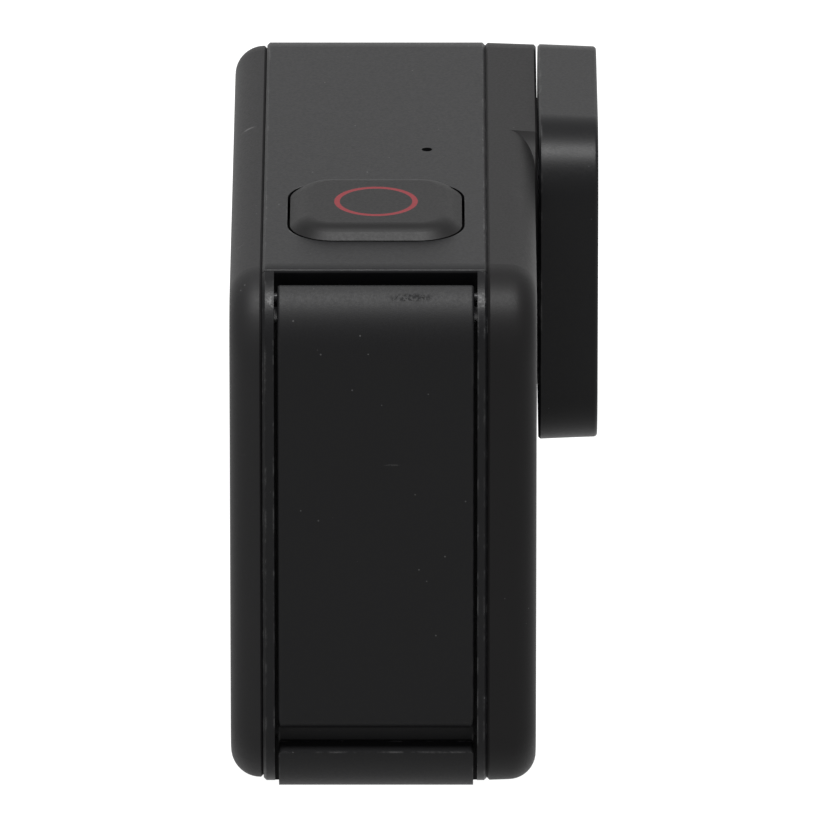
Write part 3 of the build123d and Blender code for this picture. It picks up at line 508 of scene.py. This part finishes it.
@dataclass(frozen=True)
class Patterned:
    """A surface whose two colours follow a small regular pattern, such as a board or a tab.

    Attributes:
        name: Name of the material.
        colour: Ground colour.
        line: Colour of the pattern's lines.
        per_mm: Lines in a millimetre.
        threshold: Share of the pattern that is ground.
        roughness: Roughness of the whole.
        metallic: Metallic share of the whole.
        cells: Whether the pattern is of cells rather than of slanting bands.
        relief: Height of the pattern's lines in metres.
        grain: Depth of the fine grain in metres.
    """

    name: str
    colour: Rgb
    line: Rgb
    per_mm: float = 1.0
    threshold: float = 0.7
    roughness: float = 0.5
    metallic: float = 0.0
    cells: bool = False
    relief: float = 0.02 * MM
    grain: float = 0.004 * MM

    def build(self) -> bpy.types.Material:
        """Make the material.

        Returns:
            The material.
        """
        g = NodeGraph(self.name)
        g.put(Metallic=self.metallic)
        if self.cells:
            pattern = g.add("ShaderNodeTexVoronoi", feature="DISTANCE_TO_EDGE")
            pattern.inputs["Scale"].default_value = self.per_mm
            pattern.inputs["Randomness"].default_value = 0.35
            g.join(g.scaled(), pattern.inputs["Vector"])
            lines = g.ramp(pattern.outputs["Distance"], 0.06, 0.03)
        else:
            pattern = g.add("ShaderNodeTexWave", wave_type="BANDS", bands_direction="DIAGONAL")
            pattern.inputs["Scale"].default_value = self.per_mm
            pattern.inputs["Distortion"].default_value = 0.4
            g.join(g.scaled(), pattern.inputs["Vector"])
            lines = g.ramp(pattern.outputs["Fac"], self.threshold, self.threshold + 0.1)
        g.join(g.mix(lines, self.colour, self.line), g.shader.inputs["Base Color"])
        rough = g.ramp(g.noise(0.8, 4.0), 0.3, 0.75, self.roughness - 0.06, self.roughness + 0.08)
        g.join(rough, g.shader.inputs["Roughness"])
        g.bump([(lines, self.relief), (g.noise(6.0), self.grain)])
        return g.material


class Finishes:
    """Every finish of the camera, made once and shared by its pieces."""

    def __init__(self) -> None:
        """Make all materials."""
        strip_wear = tuple(
            Mark(in_mm(-33.6, y, 48.1), in_mm(1.1, 0.55, 1.1), lighter=0.05, broken=0.8)
            for y in (12.9, -6.1))
        door_rub = (
            Mark(in_mm(-33.4, 0.2, 48.2), in_mm(0.8, 2.6, 0.45), duller=0.22, broken=0.6),
            Mark(in_mm(-35.9, 2.0, 33.0), in_mm(0.5, 0.9, 0.10), lighter=0.02, broken=0.3))
        shell_scratch = (
            Mark(in_mm(7.7, 15.3, 49.1), in_mm(0.22, 1.1, 0.6), lighter=0.05, broken=0.0),
            Mark(in_mm(-22.0, 15.9, 49.0), in_mm(0.12, 0.7, 0.6), lighter=0.03, broken=0.2))
        recipes = (
            MouldedPlastic("band_plastic", (0.0040, 0.0040, 0.0045), 0.375, 1.25,
                           marks=strip_wear),
            MouldedPlastic("door_plastic", (0.0038, 0.0038, 0.0042), 0.48, 1.255, specks=0.04,
                           marks=door_rub),
            MouldedPlastic("button_plastic", (0.0050, 0.0048, 0.0050), 0.46, 1.27, specks=0.04,
                           wear=0.008),
            MouldedPlastic("cover_plastic", (0.0040, 0.0040, 0.0044), 0.38, 1.255, specks=0.02),
            MouldedPlastic("inner_plastic", (0.004, 0.004, 0.0042), 0.5, 1.3, specks=0.0,
                           wear=0.0),
            SoftTouch("front_soft_shell", (0.0057, 0.0054, 0.0056), 0.46, 1.22),
            SoftTouch("rear_soft_shell", (0.0074, 0.0072, 0.0076), 0.53, 1.28,
                      marks=shell_scratch),
            SoftTouch("seal_rubber", (0.006, 0.006, 0.006), 0.55, 1.35, 0.1),
            MouldedPlastic("ring_red", (0.125, 0.018, 0.022), 0.50, 1.20, specks=0.01, wear=0.0),
            Metal("steel", (0.42, 0.42, 0.43), 0.32),
            Metal("black_steel", (0.012, 0.012, 0.013), 0.45, 0.4),
            Metal("finger_metal", (0.030, 0.031, 0.034), 0.45, 0.7),
            Metal("bayonet_metal", (0.020, 0.020, 0.022), 0.38, 0.8),
            Metal("contact_gold", (0.80, 0.56, 0.22), 0.25),
            Metal("spreader_metal", (0.62, 0.62, 0.63), 0.4, 1.0, (0.2, 1.0, 6.0)),
            CoatedGlass("screen_glass", (0.0022, 0.0022, 0.0027), 0.0, 1.40),
            CoatedGlass("cover_glass", (0.93, 0.95, 0.97), 1.0, 1.24, 0.02),
            CoatedGlass("lens_glass", (0.42, 0.50, 0.74), 1.0, 1.30, 0.01),
            CoatedGlass("sensor_glass", (0.02, 0.03, 0.06), 0.0, 1.6, 0.05),
            CoatedGlass("mask_print", (0.0016, 0.0016, 0.0018), 0.0, 1.4, 0.12),
            Patterned("display_panel", (0.004, 0.004, 0.005), (0.007, 0.007, 0.009), 4.0, 0.5,
                      0.25),
            Patterned("board", (0.008, 0.035, 0.022), (0.03, 0.09, 0.06), 0.7, cells=True,
                      roughness=0.4),
            Patterned("battery_wrap", (0.012, 0.012, 0.014), (0.018, 0.018, 0.02), 2.0, 0.5, 0.45),
            Patterned("tab_weave", (0.02, 0.06, 0.22), (0.04, 0.10, 0.32), 2.5, 0.5, 0.85),
            Patterned("tab_thread", (0.30, 0.33, 0.40), (0.42, 0.45, 0.52), 6.0, 0.5, 0.8),
            Patterned("speaker_cloth", (0.006, 0.006, 0.006), (0.02, 0.02, 0.02), 3.0, 0.5, 0.8),
            MouldedPlastic("light_pipe", (0.13, 0.125, 0.12), 0.30, 1.45, specks=0.0, wear=0.0),
        )
        self.by_name = {recipe.name: recipe.build() for recipe in recipes}

    def dress(self, obj: bpy.types.Object, name: str) -> None:
        """Give an object one finish.

        Args:
            obj: Object to dress.
            name: Name of the finish.
        """
        obj.data.materials.clear()
        obj.data.materials.append(self.by_name[name])


@dataclass
class Workshop:
    """What every sub-assembly needs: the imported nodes, the finishes and the way to add pieces."""

    nodes: dict[str, bpy.types.Object]
    finishes: Finishes

    def smooth(self, obj: bpy.types.Object, angle: float = SMOOTH_ANGLE) -> None:
        """Shade an object smoothly, with edges kept where faces meet at more than an angle.

        Args:
            obj: Object to shade.
            angle: Largest angle in degrees that stays smooth.
        """
        mesh = obj.data
        mesh.polygons.foreach_set("use_smooth", [True] * len(mesh.polygons))
        mesh.set_sharp_from_angle(angle=math.radians(angle))

    def node(self, name: str, finish: str) -> bpy.types.Object:
        """Dress one of the frame's own nodes.

        Args:
            name: Name of the node.
            finish: Name of its finish.

        Returns:
            The node's object.
        """
        obj = self.nodes[name]
        self.smooth(obj)
        self.finishes.dress(obj, finish)
        log.info("node %s in %s", name, finish)
        return obj

    def piece(self, name: str, mesh: bmesh.types.BMesh, body: str, finish: str, slot: str,
              angle: float = SMOOTH_ANGLE) -> bpy.types.Object:
        """Turn a built mesh into a piece that rides on a body.

        Args:
            name: Name of the piece.
            mesh: The built mesh, which is freed.
            body: Body that it rides on.
            finish: Name of its finish.
            slot: Not used.
            angle: Largest angle in degrees that is shaded smooth.

        Returns:
            The new object.
        """
        bmesh.ops.remove_doubles(mesh, verts=mesh.verts, dist=WELD)
        bmesh.ops.recalc_face_normals(mesh, faces=mesh.faces)
        data = bpy.data.meshes.new(name)
        mesh.to_mesh(data)
        mesh.free()
        obj = bpy.data.objects.new(name, data)
        bpy.context.scene.collection.objects.link(obj)
        self.smooth(obj, angle)
        self.finishes.dress(obj, finish)
        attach(obj, body)
        log.info("piece %s on %s in %s", name, body, finish)
        return obj


def rounded_loop(width: float, height: float, radius: float,
                 steps: int = 10) -> list[tuple[float, float]]:
    """Points round a rounded rectangle about the origin, counter-clockwise.

    Args:
        width: Full width.
        height: Full height.
        radius: Corner radius.
        steps: Segments in each corner.

    Returns:
        The points.
    """
    radius = min(radius, width / 2 - CORNER_GAP, height / 2 - CORNER_GAP)
    points = []
    corners = ((1, 1, 0), (-1, 1, 90), (-1, -1, 180), (1, -1, 270))
    for sx, sy, start in corners:
        cx, cy = sx * (width / 2 - radius), sy * (height / 2 - radius)
        for i in range(steps + 1):
            a = math.radians(start + 90 * i / steps)
            points.append((cx + radius * math.cos(a), cy + radius * math.sin(a)))
    return points


def loft(sections: Iterable[tuple[Sequence[tuple[float, float]], float]], centre: Point,
         facing: Facing) -> bmesh.types.BMesh:
    """Skin a closed form through flat loops stacked along the way it faces.

    Args:
        sections: Pairs of loop and height along the facing direction.
        centre: Point that the loops are drawn about.
        facing: Which way the form faces.

    Returns:
        The mesh.
    """
    across, up, out = (Vector(v) for v in facing.value)
    mesh = bmesh.new()
    rings = []
    for loop, height in sections:
        rings.append([mesh.verts.new(Vector(centre) + across * u + up * v + out * height)
                      for u, v in loop])
    count = len(rings[0])
    for low, high in zip(rings, rings[1:]):
        for i in range(count):
            j = (i + 1) % count
            mesh.faces.new((low[i], low[j], high[j], high[i]))
    mesh.faces.new(list(reversed(rings[0])))
    mesh.faces.new(rings[-1])
    return mesh


def bar(size: Point, radius: float, centre: Point, facing: Facing,
        edge: float) -> bmesh.types.BMesh:
    """A flat bar with rounded corners and a rolled front edge.

    Args:
        size: Width, height and thickness along the way it faces.
        radius: Corner radius.
        centre: Middle of its back face.
        facing: Which way it faces.
        edge: Radius of the rolled front edge.

    Returns:
        The mesh.
    """
    width, height, depth = size
    sections = [(rounded_loop(width, height, radius), 0.0)]
    for i in range(EDGE_STEPS + 1):
        a = math.radians(90 * i / EDGE_STEPS)
        inset = edge * (1 - math.cos(a))
        loop = rounded_loop(width - 2 * inset, height - 2 * inset, radius - inset)
        sections.append((loop, depth - edge + edge * math.sin(a)))
    return loft(sections, centre, facing)


def joined(meshes: Iterable[bmesh.types.BMesh]) -> bmesh.types.BMesh:
    """Put several meshes into one, and free them.

    Args:
        meshes: Meshes to join.

    Returns:
        The joined mesh.
    """
    whole = bmesh.new()
    for mesh in meshes:
        data = bpy.data.meshes.new("step")
        mesh.to_mesh(data)
        mesh.free()
        whole.from_mesh(data)
        bpy.data.meshes.remove(data)
    return whole


def woven(width: float, height: float, pitch: float, wire: float, centre: Point,
          facing: Facing) -> bmesh.types.BMesh:
    """Weave a flat mesh of round wires that pass over and under each other.

    Args:
        width: Full width.
        height: Full height.
        pitch: Distance between wires.
        wire: Wire diameter.
        centre: Middle of the mesh.
        facing: Which way it faces.

    Returns:
        The mesh.
    """
    across, up, out = (Vector(v) for v in facing.value)
    whole = bmesh.new()
    for run, rise, length, spread in ((across, up, width, height), (up, across, height, width)):
        count = max(2, round(spread / pitch))
        for k in range(count):
            offset = (k + 0.5) * spread / count - spread / 2
            sign = 1.0 if (k + (run == up)) % 2 else -1.0
            crossings = max(2, round(length / pitch))
            rings = []
            for i in range(2 * crossings + 1):
                t = i / (2 * crossings)
                wave = sign * math.sin(math.pi * crossings * t) * wire * 0.5
                spot = Vector(centre) + run * (t - 0.5) * length + rise * offset + out * wave
                rings.append([whole.verts.new(spot + (rise * math.cos(a) + out * math.sin(a))
                                              * wire / 2)
                              for a in (math.tau * j / WIRE_SIDES for j in range(WIRE_SIDES))])
            for low, high in zip(rings, rings[1:]):
                for j in range(WIRE_SIDES):
                    n = (j + 1) % WIRE_SIDES
                    whole.faces.new((low[j], low[n], high[n], high[j]))
    return whole


def turned(profile: Sequence[tuple[float, float]], centre: Point, facing: Facing,
           steps: int = 96) -> bmesh.types.BMesh:
    """Turn a closed profile of radius and height into a ring-shaped solid.

    Args:
        profile: Points of radius and height, in order round the section.
        centre: Point on the axis.
        facing: Direction of the axis.
        steps: Segments round the axis.

    Returns:
        The mesh.
    """
    across, up, out = (Vector(v) for v in facing.value)
    mesh = bmesh.new()
    rings = []
    for i in range(steps):
        a = math.tau * i / steps
        spoke = across * math.cos(a) + up * math.sin(a)
        rings.append([mesh.verts.new(Vector(centre) + spoke * r + out * h) for r, h in profile])
    count = len(profile)
    for i in range(steps):
        here, there = rings[i], rings[(i + 1) % steps]
        for k in range(count):
            n = (k + 1) % count
            mesh.faces.new((here[k], there[k], there[n], here[n]))
    return mesh


def middle(name: str) -> Vector:
    """Middle of a node's box, in metres."""
    low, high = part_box(name)
    return (low + high) / 2


@dataclass
class Housing:
    """Band, shells and top panel with what shows through their openings."""

    shop: Workshop
    slot_width: float = 5.6 * MM
    slot_height: float = 0.8 * MM
    slot_pitch: float = 2.2 * MM
    slots: int = 3
    mesh_pitch: float = 0.22 * MM
    mesh_wire: float = 0.07 * MM
    mic_mesh_width: float = 0.66 * MM

    def speaker_mesh(self) -> None:
        """Weave a protective mesh into each speaker slot."""
        low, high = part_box("speaker")
        middle_z = (low.z + high.z) / 2
        strips = []
        for i in range(self.slots):
            z = middle_z + (i - (self.slots - 1) / 2) * self.slot_pitch
            at = (high.x + 2 * self.mesh_wire, (low.y + high.y) / 2, z)
            strips.append(woven(self.slot_width, self.slot_height, self.mesh_pitch,
                                self.mesh_wire, at, Facing.MODE_SIDE))
        self.shop.piece("speaker_mesh", joined(strips), "camera", "black_steel", "steel")

    def microphone_meshes(self) -> None:
        """Weave a mesh over each microphone, at the inner end of its hole."""
        for name, facing in (("top_microphone", Facing.UP), ("front_microphone", Facing.FRONT)):
            low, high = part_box(name)
            at = middle(name)
            if facing is Facing.UP:
                at.z = high.z + 2 * self.mesh_wire
            else:
                at.y = low.y - 2 * self.mesh_wire
            mesh = woven(self.mic_mesh_width, self.mic_mesh_width, self.mesh_pitch,
                         self.mesh_wire, tuple(at), facing)
            self.shop.piece(f"{name}_mesh", mesh, "camera", "black_steel", "steel")

    def build(self) -> None:
        """Dress the nodes and add the speaker and microphone meshes."""
        for name in ("chassis", "top_panel"):
            self.shop.node(name, "band_plastic")
        self.shop.node("front_shell", "front_soft_shell")
        self.shop.node("rear_shell", "rear_soft_shell")
        self.shop.node("mode_carrier", "inner_plastic")
        self.shop.node("speaker", "speaker_cloth")
        for name in ("top_microphone", "front_microphone"):
            self.shop.node(name, "seal_rubber")
        for name in ("shutter_switch", "mode_switch"):
            self.shop.node(name, "steel")
        for name in ("front_status_light", "rear_status_light"):
            self.shop.node(name, "light_pipe")
        self.speaker_mesh()
        self.microphone_meshes()


@dataclass
class Screens:
    """Front and rear screens."""

    shop: Workshop

    def build(self) -> None:
        """Dress the screens."""
        for name in ("front_glass", "rear_glass"):
            self.shop.node(name, "screen_glass")
        for name in ("front_display", "rear_display"):
            self.shop.node(name, "display_panel")


@dataclass
class Buttons:
    """Shutter button with its ring, and the mode button."""

    shop: Workshop

    def build(self) -> None:
        """Dress the buttons."""
        self.shop.node("shutter_button", "button_plastic")
        self.shop.node("shutter_ring", "ring_red")
        self.shop.node("mode_button", "button_plastic")


@dataclass
class SideDoor:
    """Door, its hinge pin, seal and latch, with the stiffening ribs inside."""

    shop: Workshop
    panel_t: float = 2.2 * MM
    rib_length: float = 13.0 * MM
    rib_width: float = 0.7 * MM
    rib_rise: float = 0.4 * MM
    rib_pitch: float = 5.0 * MM
    ribs: int = 6
    lowest_rib: float = 12.5 * MM

    def inner_ribs(self) -> None:
        """Add the ribs on the door's inner face, inside its seal."""
        low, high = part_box("door")
        bars = []
        for i in range(self.ribs):
            at = (low.x + self.panel_t, (low.y + high.y) / 2,
                  self.lowest_rib + i * self.rib_pitch)
            bars.append(bar((self.rib_length, self.rib_width, self.rib_rise), self.rib_width / 2,
                            at, Facing.MODE_SIDE, self.rib_rise / 2))
        self.shop.piece("door_ribs", joined(bars), "side_door", "door_plastic", "band_plastic")

    def build(self) -> None:
        """Dress the door and add its ribs."""
        self.inner_ribs()
        self.shop.node("door", "door_plastic")
        self.shop.node("door_latch", "door_plastic")
        self.shop.node("door_seal", "seal_rubber")
        self.shop.node("door_hinge_pin", "black_steel")


@dataclass
class LensCover:
    """Removable cover with the printed mask behind its glass."""

    shop: Workshop
    mask_outer_r: float = 11.6 * MM
    mask_inner_r: float = 9.6 * MM
    mask_t: float = 0.05 * MM

    def build(self) -> None:
        """Dress the cover and add the printed mask."""
        self.shop.node("lens_cover_frame", "cover_plastic")
        self.shop.node("lens_cover_glass", "cover_glass")
        self.shop.node("lens_cover_seal", "seal_rubber")
        _, glass_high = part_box("lens_cover_glass")
        centre = middle("lens_cover_glass")
        at = (centre.x, glass_high.y, centre.z)
        ring = [(self.mask_inner_r, 0.0), (self.mask_outer_r, 0.0),
                (self.mask_outer_r, -self.mask_t), (self.mask_inner_r, -self.mask_t)]
        self.shop.piece("lens_cover_mask", turned(ring, at, Facing.FRONT), "lens_cover",
                        "mask_print", "inner_plastic")


@dataclass
class LensUnit:
    """Bayonet ring, barrel, elements and sensor, with the stepped hood inside the barrel."""

    shop: Workshop
    steps: int = 4
    hood_outer_r: float = 9.0 * MM
    hood_inner_r: float = 7.95 * MM
    hood_depth: float = 1.05 * MM
    hood_sink: float = 0.05 * MM
    hood_wall: float = 0.2 * MM
    hood_smooth: float = 20.0
    tread: float = 0.75
    undercut: float = 0.15
    lip: float = 0.2
    stop_outer_r: float = 4.1 * MM
    stop_inner_r: float = 2.4 * MM
    stop_t: float = 0.12 * MM
    stop_gap: float = 0.6 * MM

    def hood(self) -> None:
        """Add the stepped rings that line the funnel before the front element."""
        low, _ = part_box("lens_barrel")
        centre = middle("lens_front_element")
        fall = (self.hood_outer_r - self.hood_inner_r) / self.steps
        drop = self.hood_depth / self.steps
        profile = []
        for i in range(self.steps):
            r = self.hood_outer_r - i * fall
            inner = r - fall * self.tread
            profile += [(r, -i * drop), (inner, -i * drop - drop * self.undercut),
                        (inner, -(i + 1) * drop)]
        profile.append((self.hood_inner_r + fall * self.lip, -self.hood_depth - self.hood_sink))
        profile.append((self.hood_outer_r + self.hood_wall, -self.hood_sink))
        at = (centre.x, low.y + self.hood_sink, centre.z)
        self.shop.piece("lens_hood", turned(profile, at, Facing.FRONT), "camera",
                        "inner_plastic", "inner_plastic", self.hood_smooth)

    def aperture_stop(self) -> None:
        """Add the thin stop ring between the two elements."""
        centre = middle("lens_front_element")
        _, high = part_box("lens_front_element")
        at = (centre.x, high.y + self.stop_gap, centre.z)
        ring = [(self.stop_inner_r, 0.0), (self.stop_inner_r + self.stop_t, self.stop_t),
                (self.stop_outer_r, self.stop_t), (self.stop_outer_r, -self.stop_t),
                (self.stop_inner_r + self.stop_t, -self.stop_t)]
        self.shop.piece("lens_stop", turned(ring, at, Facing.FRONT), "camera",
                        "inner_plastic", "inner_plastic")

    def build(self) -> None:
        """Dress the lens, and add its hood rings and stop."""
        self.hood()
        self.aperture_stop()
        self.shop.node("bayonet_ring", "bayonet_metal")
        self.shop.node("lens_barrel", "inner_plastic")
        for name in ("lens_front_element", "lens_rear_element"):
            self.shop.node(name, "lens_glass")
        self.shop.node("image_sensor", "sensor_glass")
        self.shop.node("sensor_board", "board")


@dataclass
class Inside:
    """Battery, boards, card and ports, with the port's contacts and the tab's stitches."""

    shop: Workshop
    pads: int = 8
    pad_pitch: float = 0.40 * MM
    pad_width: float = 0.22 * MM
    pad_length: float = 3.0 * MM
    pad_t: float = 0.03 * MM
    pad_corner: float = 0.088 * MM
    tongue_t: float = 0.70 * MM
    tongue_end: float = 0.75 * MM
    stitch: Point = (0.22 * MM, 0.8 * MM, 0.10 * MM)
    stitch_edge: float = 0.08 * MM
    stitch_fill: float = 0.7
    stitches: int = 6
    stitch_inset: float = 0.7 * MM

    def port_contacts(self) -> None:
        """Add the gilt contacts on both faces of the data port's tongue."""
        low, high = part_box("data_port")
        y, z = (low.y + high.y) / 2, (low.z + high.z) / 2
        x = low.x + self.tongue_end + self.pad_length / 2
        strips = []
        for facing, side in ((Facing.UP, 1.0), (Facing.DOWN, -1.0)):
            for i in range(self.pads):
                at = (x, y + (i - (self.pads - 1) / 2) * self.pad_pitch,
                      z + side * self.tongue_t / 2)
                strips.append(bar((self.pad_length, self.pad_width, self.pad_t),
                                  self.pad_corner, at, facing, self.pad_t / 2))
        self.shop.piece("port_contacts", joined(strips), "camera", "contact_gold",
                        "contact_brass")

    def tab_stitches(self) -> None:
        """Sew two rows of stitches down the battery's pull tab."""
        low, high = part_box("battery_pull_tab")
        width, length, rise = self.stitch
        pitch = (high.z - low.z - 2 * self.stitch_inset) / self.stitches
        rows = []
        for y in (low.y + self.stitch_inset, high.y - self.stitch_inset):
            for i in range(self.stitches):
                at = (low.x, y, low.z + self.stitch_inset + (i + 0.5) * pitch)
                rows.append(bar((width, min(length, self.stitch_fill * pitch), rise), width / 2,
                                at, Facing.DOOR_SIDE, self.stitch_edge))
        self.shop.piece("tab_stitches", joined(rows), "camera", "tab_thread", "tab_fabric")

    def build(self) -> None:
        """Dress the inner nodes, and add the contacts and stitches."""
        self.port_contacts()
        self.tab_stitches()
        self.shop.node("battery", "battery_wrap")
        self.shop.node("battery_pull_tab", "tab_weave")
        self.shop.node("battery_bay", "inner_plastic")
        self.shop.node("battery_contacts", "contact_gold")
        self.shop.node("main_board", "board")
        self.shop.node("processor_shield", "steel")
        self.shop.node("heat_spreader", "spreader_metal")
        self.shop.node("card_slot", "steel")
        self.shop.node("memory_card", "inner_plastic")
        self.shop.node("data_port", "steel")


@dataclass
class Fingers:
    """Folding mounting fingers with their bracket, pins and screws."""

    shop: Workshop

    def build(self) -> None:
        """Dress the fingers."""
        for name in ("finger_left", "finger_right"):
            self.shop.node(name, "finger_metal")
        self.shop.node("finger_bracket", "finger_metal")
        for name in ("finger_pins", "bracket_screws"):
            self.shop.node(name, "steel")


@dataclass
class Studio:
    """Pale floor, soft lights, surroundings and the camera."""

    elevation: float = 21.2
    distance: float = 1656.2 * MM
    drop: float = 0.67 * MM
    lens: float = 781.4
    sensor_width: float = 36.0
    clip: tuple[float, float] = (0.05, 50.0)
    aim: Point = (-0.4 * MM, 0.0, 24.9 * MM)
    floor_reach: float = 3.0
    surround: float = 0.655
    floor_tone: float = 0.12
    floor_glow: float = 0.72
    floor_shine: float = 0.30
    floor_roughness: float = 0.9
    floor_ior: float = 1.2
    light_target: Point = (0.0, 0.0, 30 * MM)
    overhead: float = 6.2
    overhead_place: Point = (-0.145, 0.0, 0.60)
    overhead_size: tuple[float, float] = (0.60, 0.15)
    back: float = 0.90
    back_place: Point = (1.10, 0.0, 0.46)
    back_size: tuple[float, float] = (1.60, 0.70)

    def floor(self) -> None:
        """Lay the pale floor, which can be seen through from below."""
        mesh = bmesh.new()
        r = self.floor_reach
        corners = ((-r, -r), (r, -r), (r, r), (-r, r))
        mesh.faces.new([mesh.verts.new((x, y, 0.0)) for x, y in corners])
        data = bpy.data.meshes.new("floor")
        mesh.to_mesh(data)
        mesh.free()
        obj = bpy.data.objects.new("floor", data)
        bpy.context.scene.collection.objects.link(obj)
        g = NodeGraph("pale_floor")
        tone = self.floor_tone
        g.put(Roughness=self.floor_roughness, IOR=self.floor_ior,
              Base_Color=(tone, tone, tone, 1.0), Emission_Color=(1.0, 1.0, 1.0, 1.0))
        path = g.add("ShaderNodeLightPath")
        extra = g.math("MULTIPLY", path.outputs["Is Camera Ray"], self.floor_shine)
        g.join(g.math("ADD", extra, self.floor_glow), g.shader.inputs["Emission Strength"])
        clear = g.add("ShaderNodeBsdfTransparent")
        mixer = g.add("ShaderNodeMixShader")
        geometry = g.add("ShaderNodeNewGeometry")
        g.join(geometry.outputs["Backfacing"], mixer.inputs["Fac"])
        g.join(g.shader.outputs["BSDF"], mixer.inputs[1])
        g.join(clear.outputs["BSDF"], mixer.inputs[2])
        g.join(mixer.outputs["Shader"], g.output.inputs["Surface"])
        data.materials.append(g.material)

    def surroundings(self) -> None:
        """Light the room evenly and keep the far background white."""
        world = bpy.data.worlds.new("studio_room")
        world.use_nodes = True
        tree = world.node_tree
        tree.nodes.clear()
        out = tree.nodes.new("ShaderNodeOutputWorld")
        mixer = tree.nodes.new("ShaderNodeMixShader")
        path = tree.nodes.new("ShaderNodeLightPath")
        room = tree.nodes.new("ShaderNodeBackground")
        room.inputs["Color"].default_value = (1.0, 1.0, 1.0, 1.0)
        room.inputs["Strength"].default_value = self.surround
        white = tree.nodes.new("ShaderNodeBackground")
        white.inputs["Color"].default_value = (1.0, 1.0, 1.0, 1.0)
        white.inputs["Strength"].default_value = 1.0
        tree.links.new(path.outputs["Is Camera Ray"], mixer.inputs["Fac"])
        tree.links.new(room.outputs["Background"], mixer.inputs[1])
        tree.links.new(white.outputs["Background"], mixer.inputs[2])
        tree.links.new(mixer.outputs["Shader"], out.inputs["Surface"])
        bpy.context.scene.world = world

    def softbox(self, name: str, place: Point, target: Point, size: tuple[float, float],
                watts: float) -> None:
        """Hang a soft area light.

        Args:
            name: Name of the light.
            place: Where it hangs.
            target: Point that it faces.
            size: Its width and height.
            watts: Its power.
        """
        data = bpy.data.lights.new(name, "AREA")
        data.shape = "RECTANGLE"
        data.size, data.size_y = size
        data.energy = watts
        obj = bpy.data.objects.new(name, data)
        obj.location = place
        obj.rotation_euler = (Vector(target) - Vector(place)).to_track_quat("-Z", "Y").to_euler()
        obj.visible_camera = False
        bpy.context.scene.collection.objects.link(obj)

    def lights(self) -> None:
        """Hang the overhead softbox and the soft panel beyond the mode button's side."""
        self.softbox("overhead", self.overhead_place, self.light_target, self.overhead_size,
                     self.overhead)
        self.softbox("back_panel", self.back_place, self.light_target, self.back_size,
                     self.back)

    def camera(self) -> None:
        """Place the long-lens camera on the door side, a little above."""
        e = math.radians(self.elevation)
        back = Vector((-math.cos(e), 0.0, math.sin(e)))
        up = Vector((math.sin(e), 0.0, math.cos(e)))
        data = bpy.data.cameras.new("camera")
        data.sensor_width = self.sensor_width
        data.lens = self.lens
        data.clip_start, data.clip_end = self.clip
        obj = bpy.data.objects.new("camera", data)
        obj.location = Vector(self.aim) + back * self.distance - up * self.drop
        obj.rotation_mode = "QUATERNION"
        obj.rotation_quaternion = (-back).to_track_quat("-Z", "Y")
        bpy.context.scene.collection.objects.link(obj)
        bpy.context.scene.camera = obj

    def build(self) -> None:
        """Set up the whole studio."""
        self.floor()
        self.surroundings()
        self.lights()
        self.camera()
        bpy.context.scene.view_settings.view_transform = "Standard"
        bpy.context.scene.view_settings.look = "None"
        log.info("studio ready")


def main() -> None:
    """Build every sub-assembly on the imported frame."""
    logging.basicConfig(level=logging.INFO, format="%(name)s: %(message)s")
    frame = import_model()
    shop = Workshop(frame["nodes"], Finishes())
    parts = (Housing(shop), Screens(shop), Buttons(shop), SideDoor(shop), LensCover(shop),
             LensUnit(shop), Inside(shop), Fingers(shop))
    for part in parts:
        log.info("building %s", type(part).__name__)
        part.build()
    Studio().build()


if __name__ == "__main__":
    main()
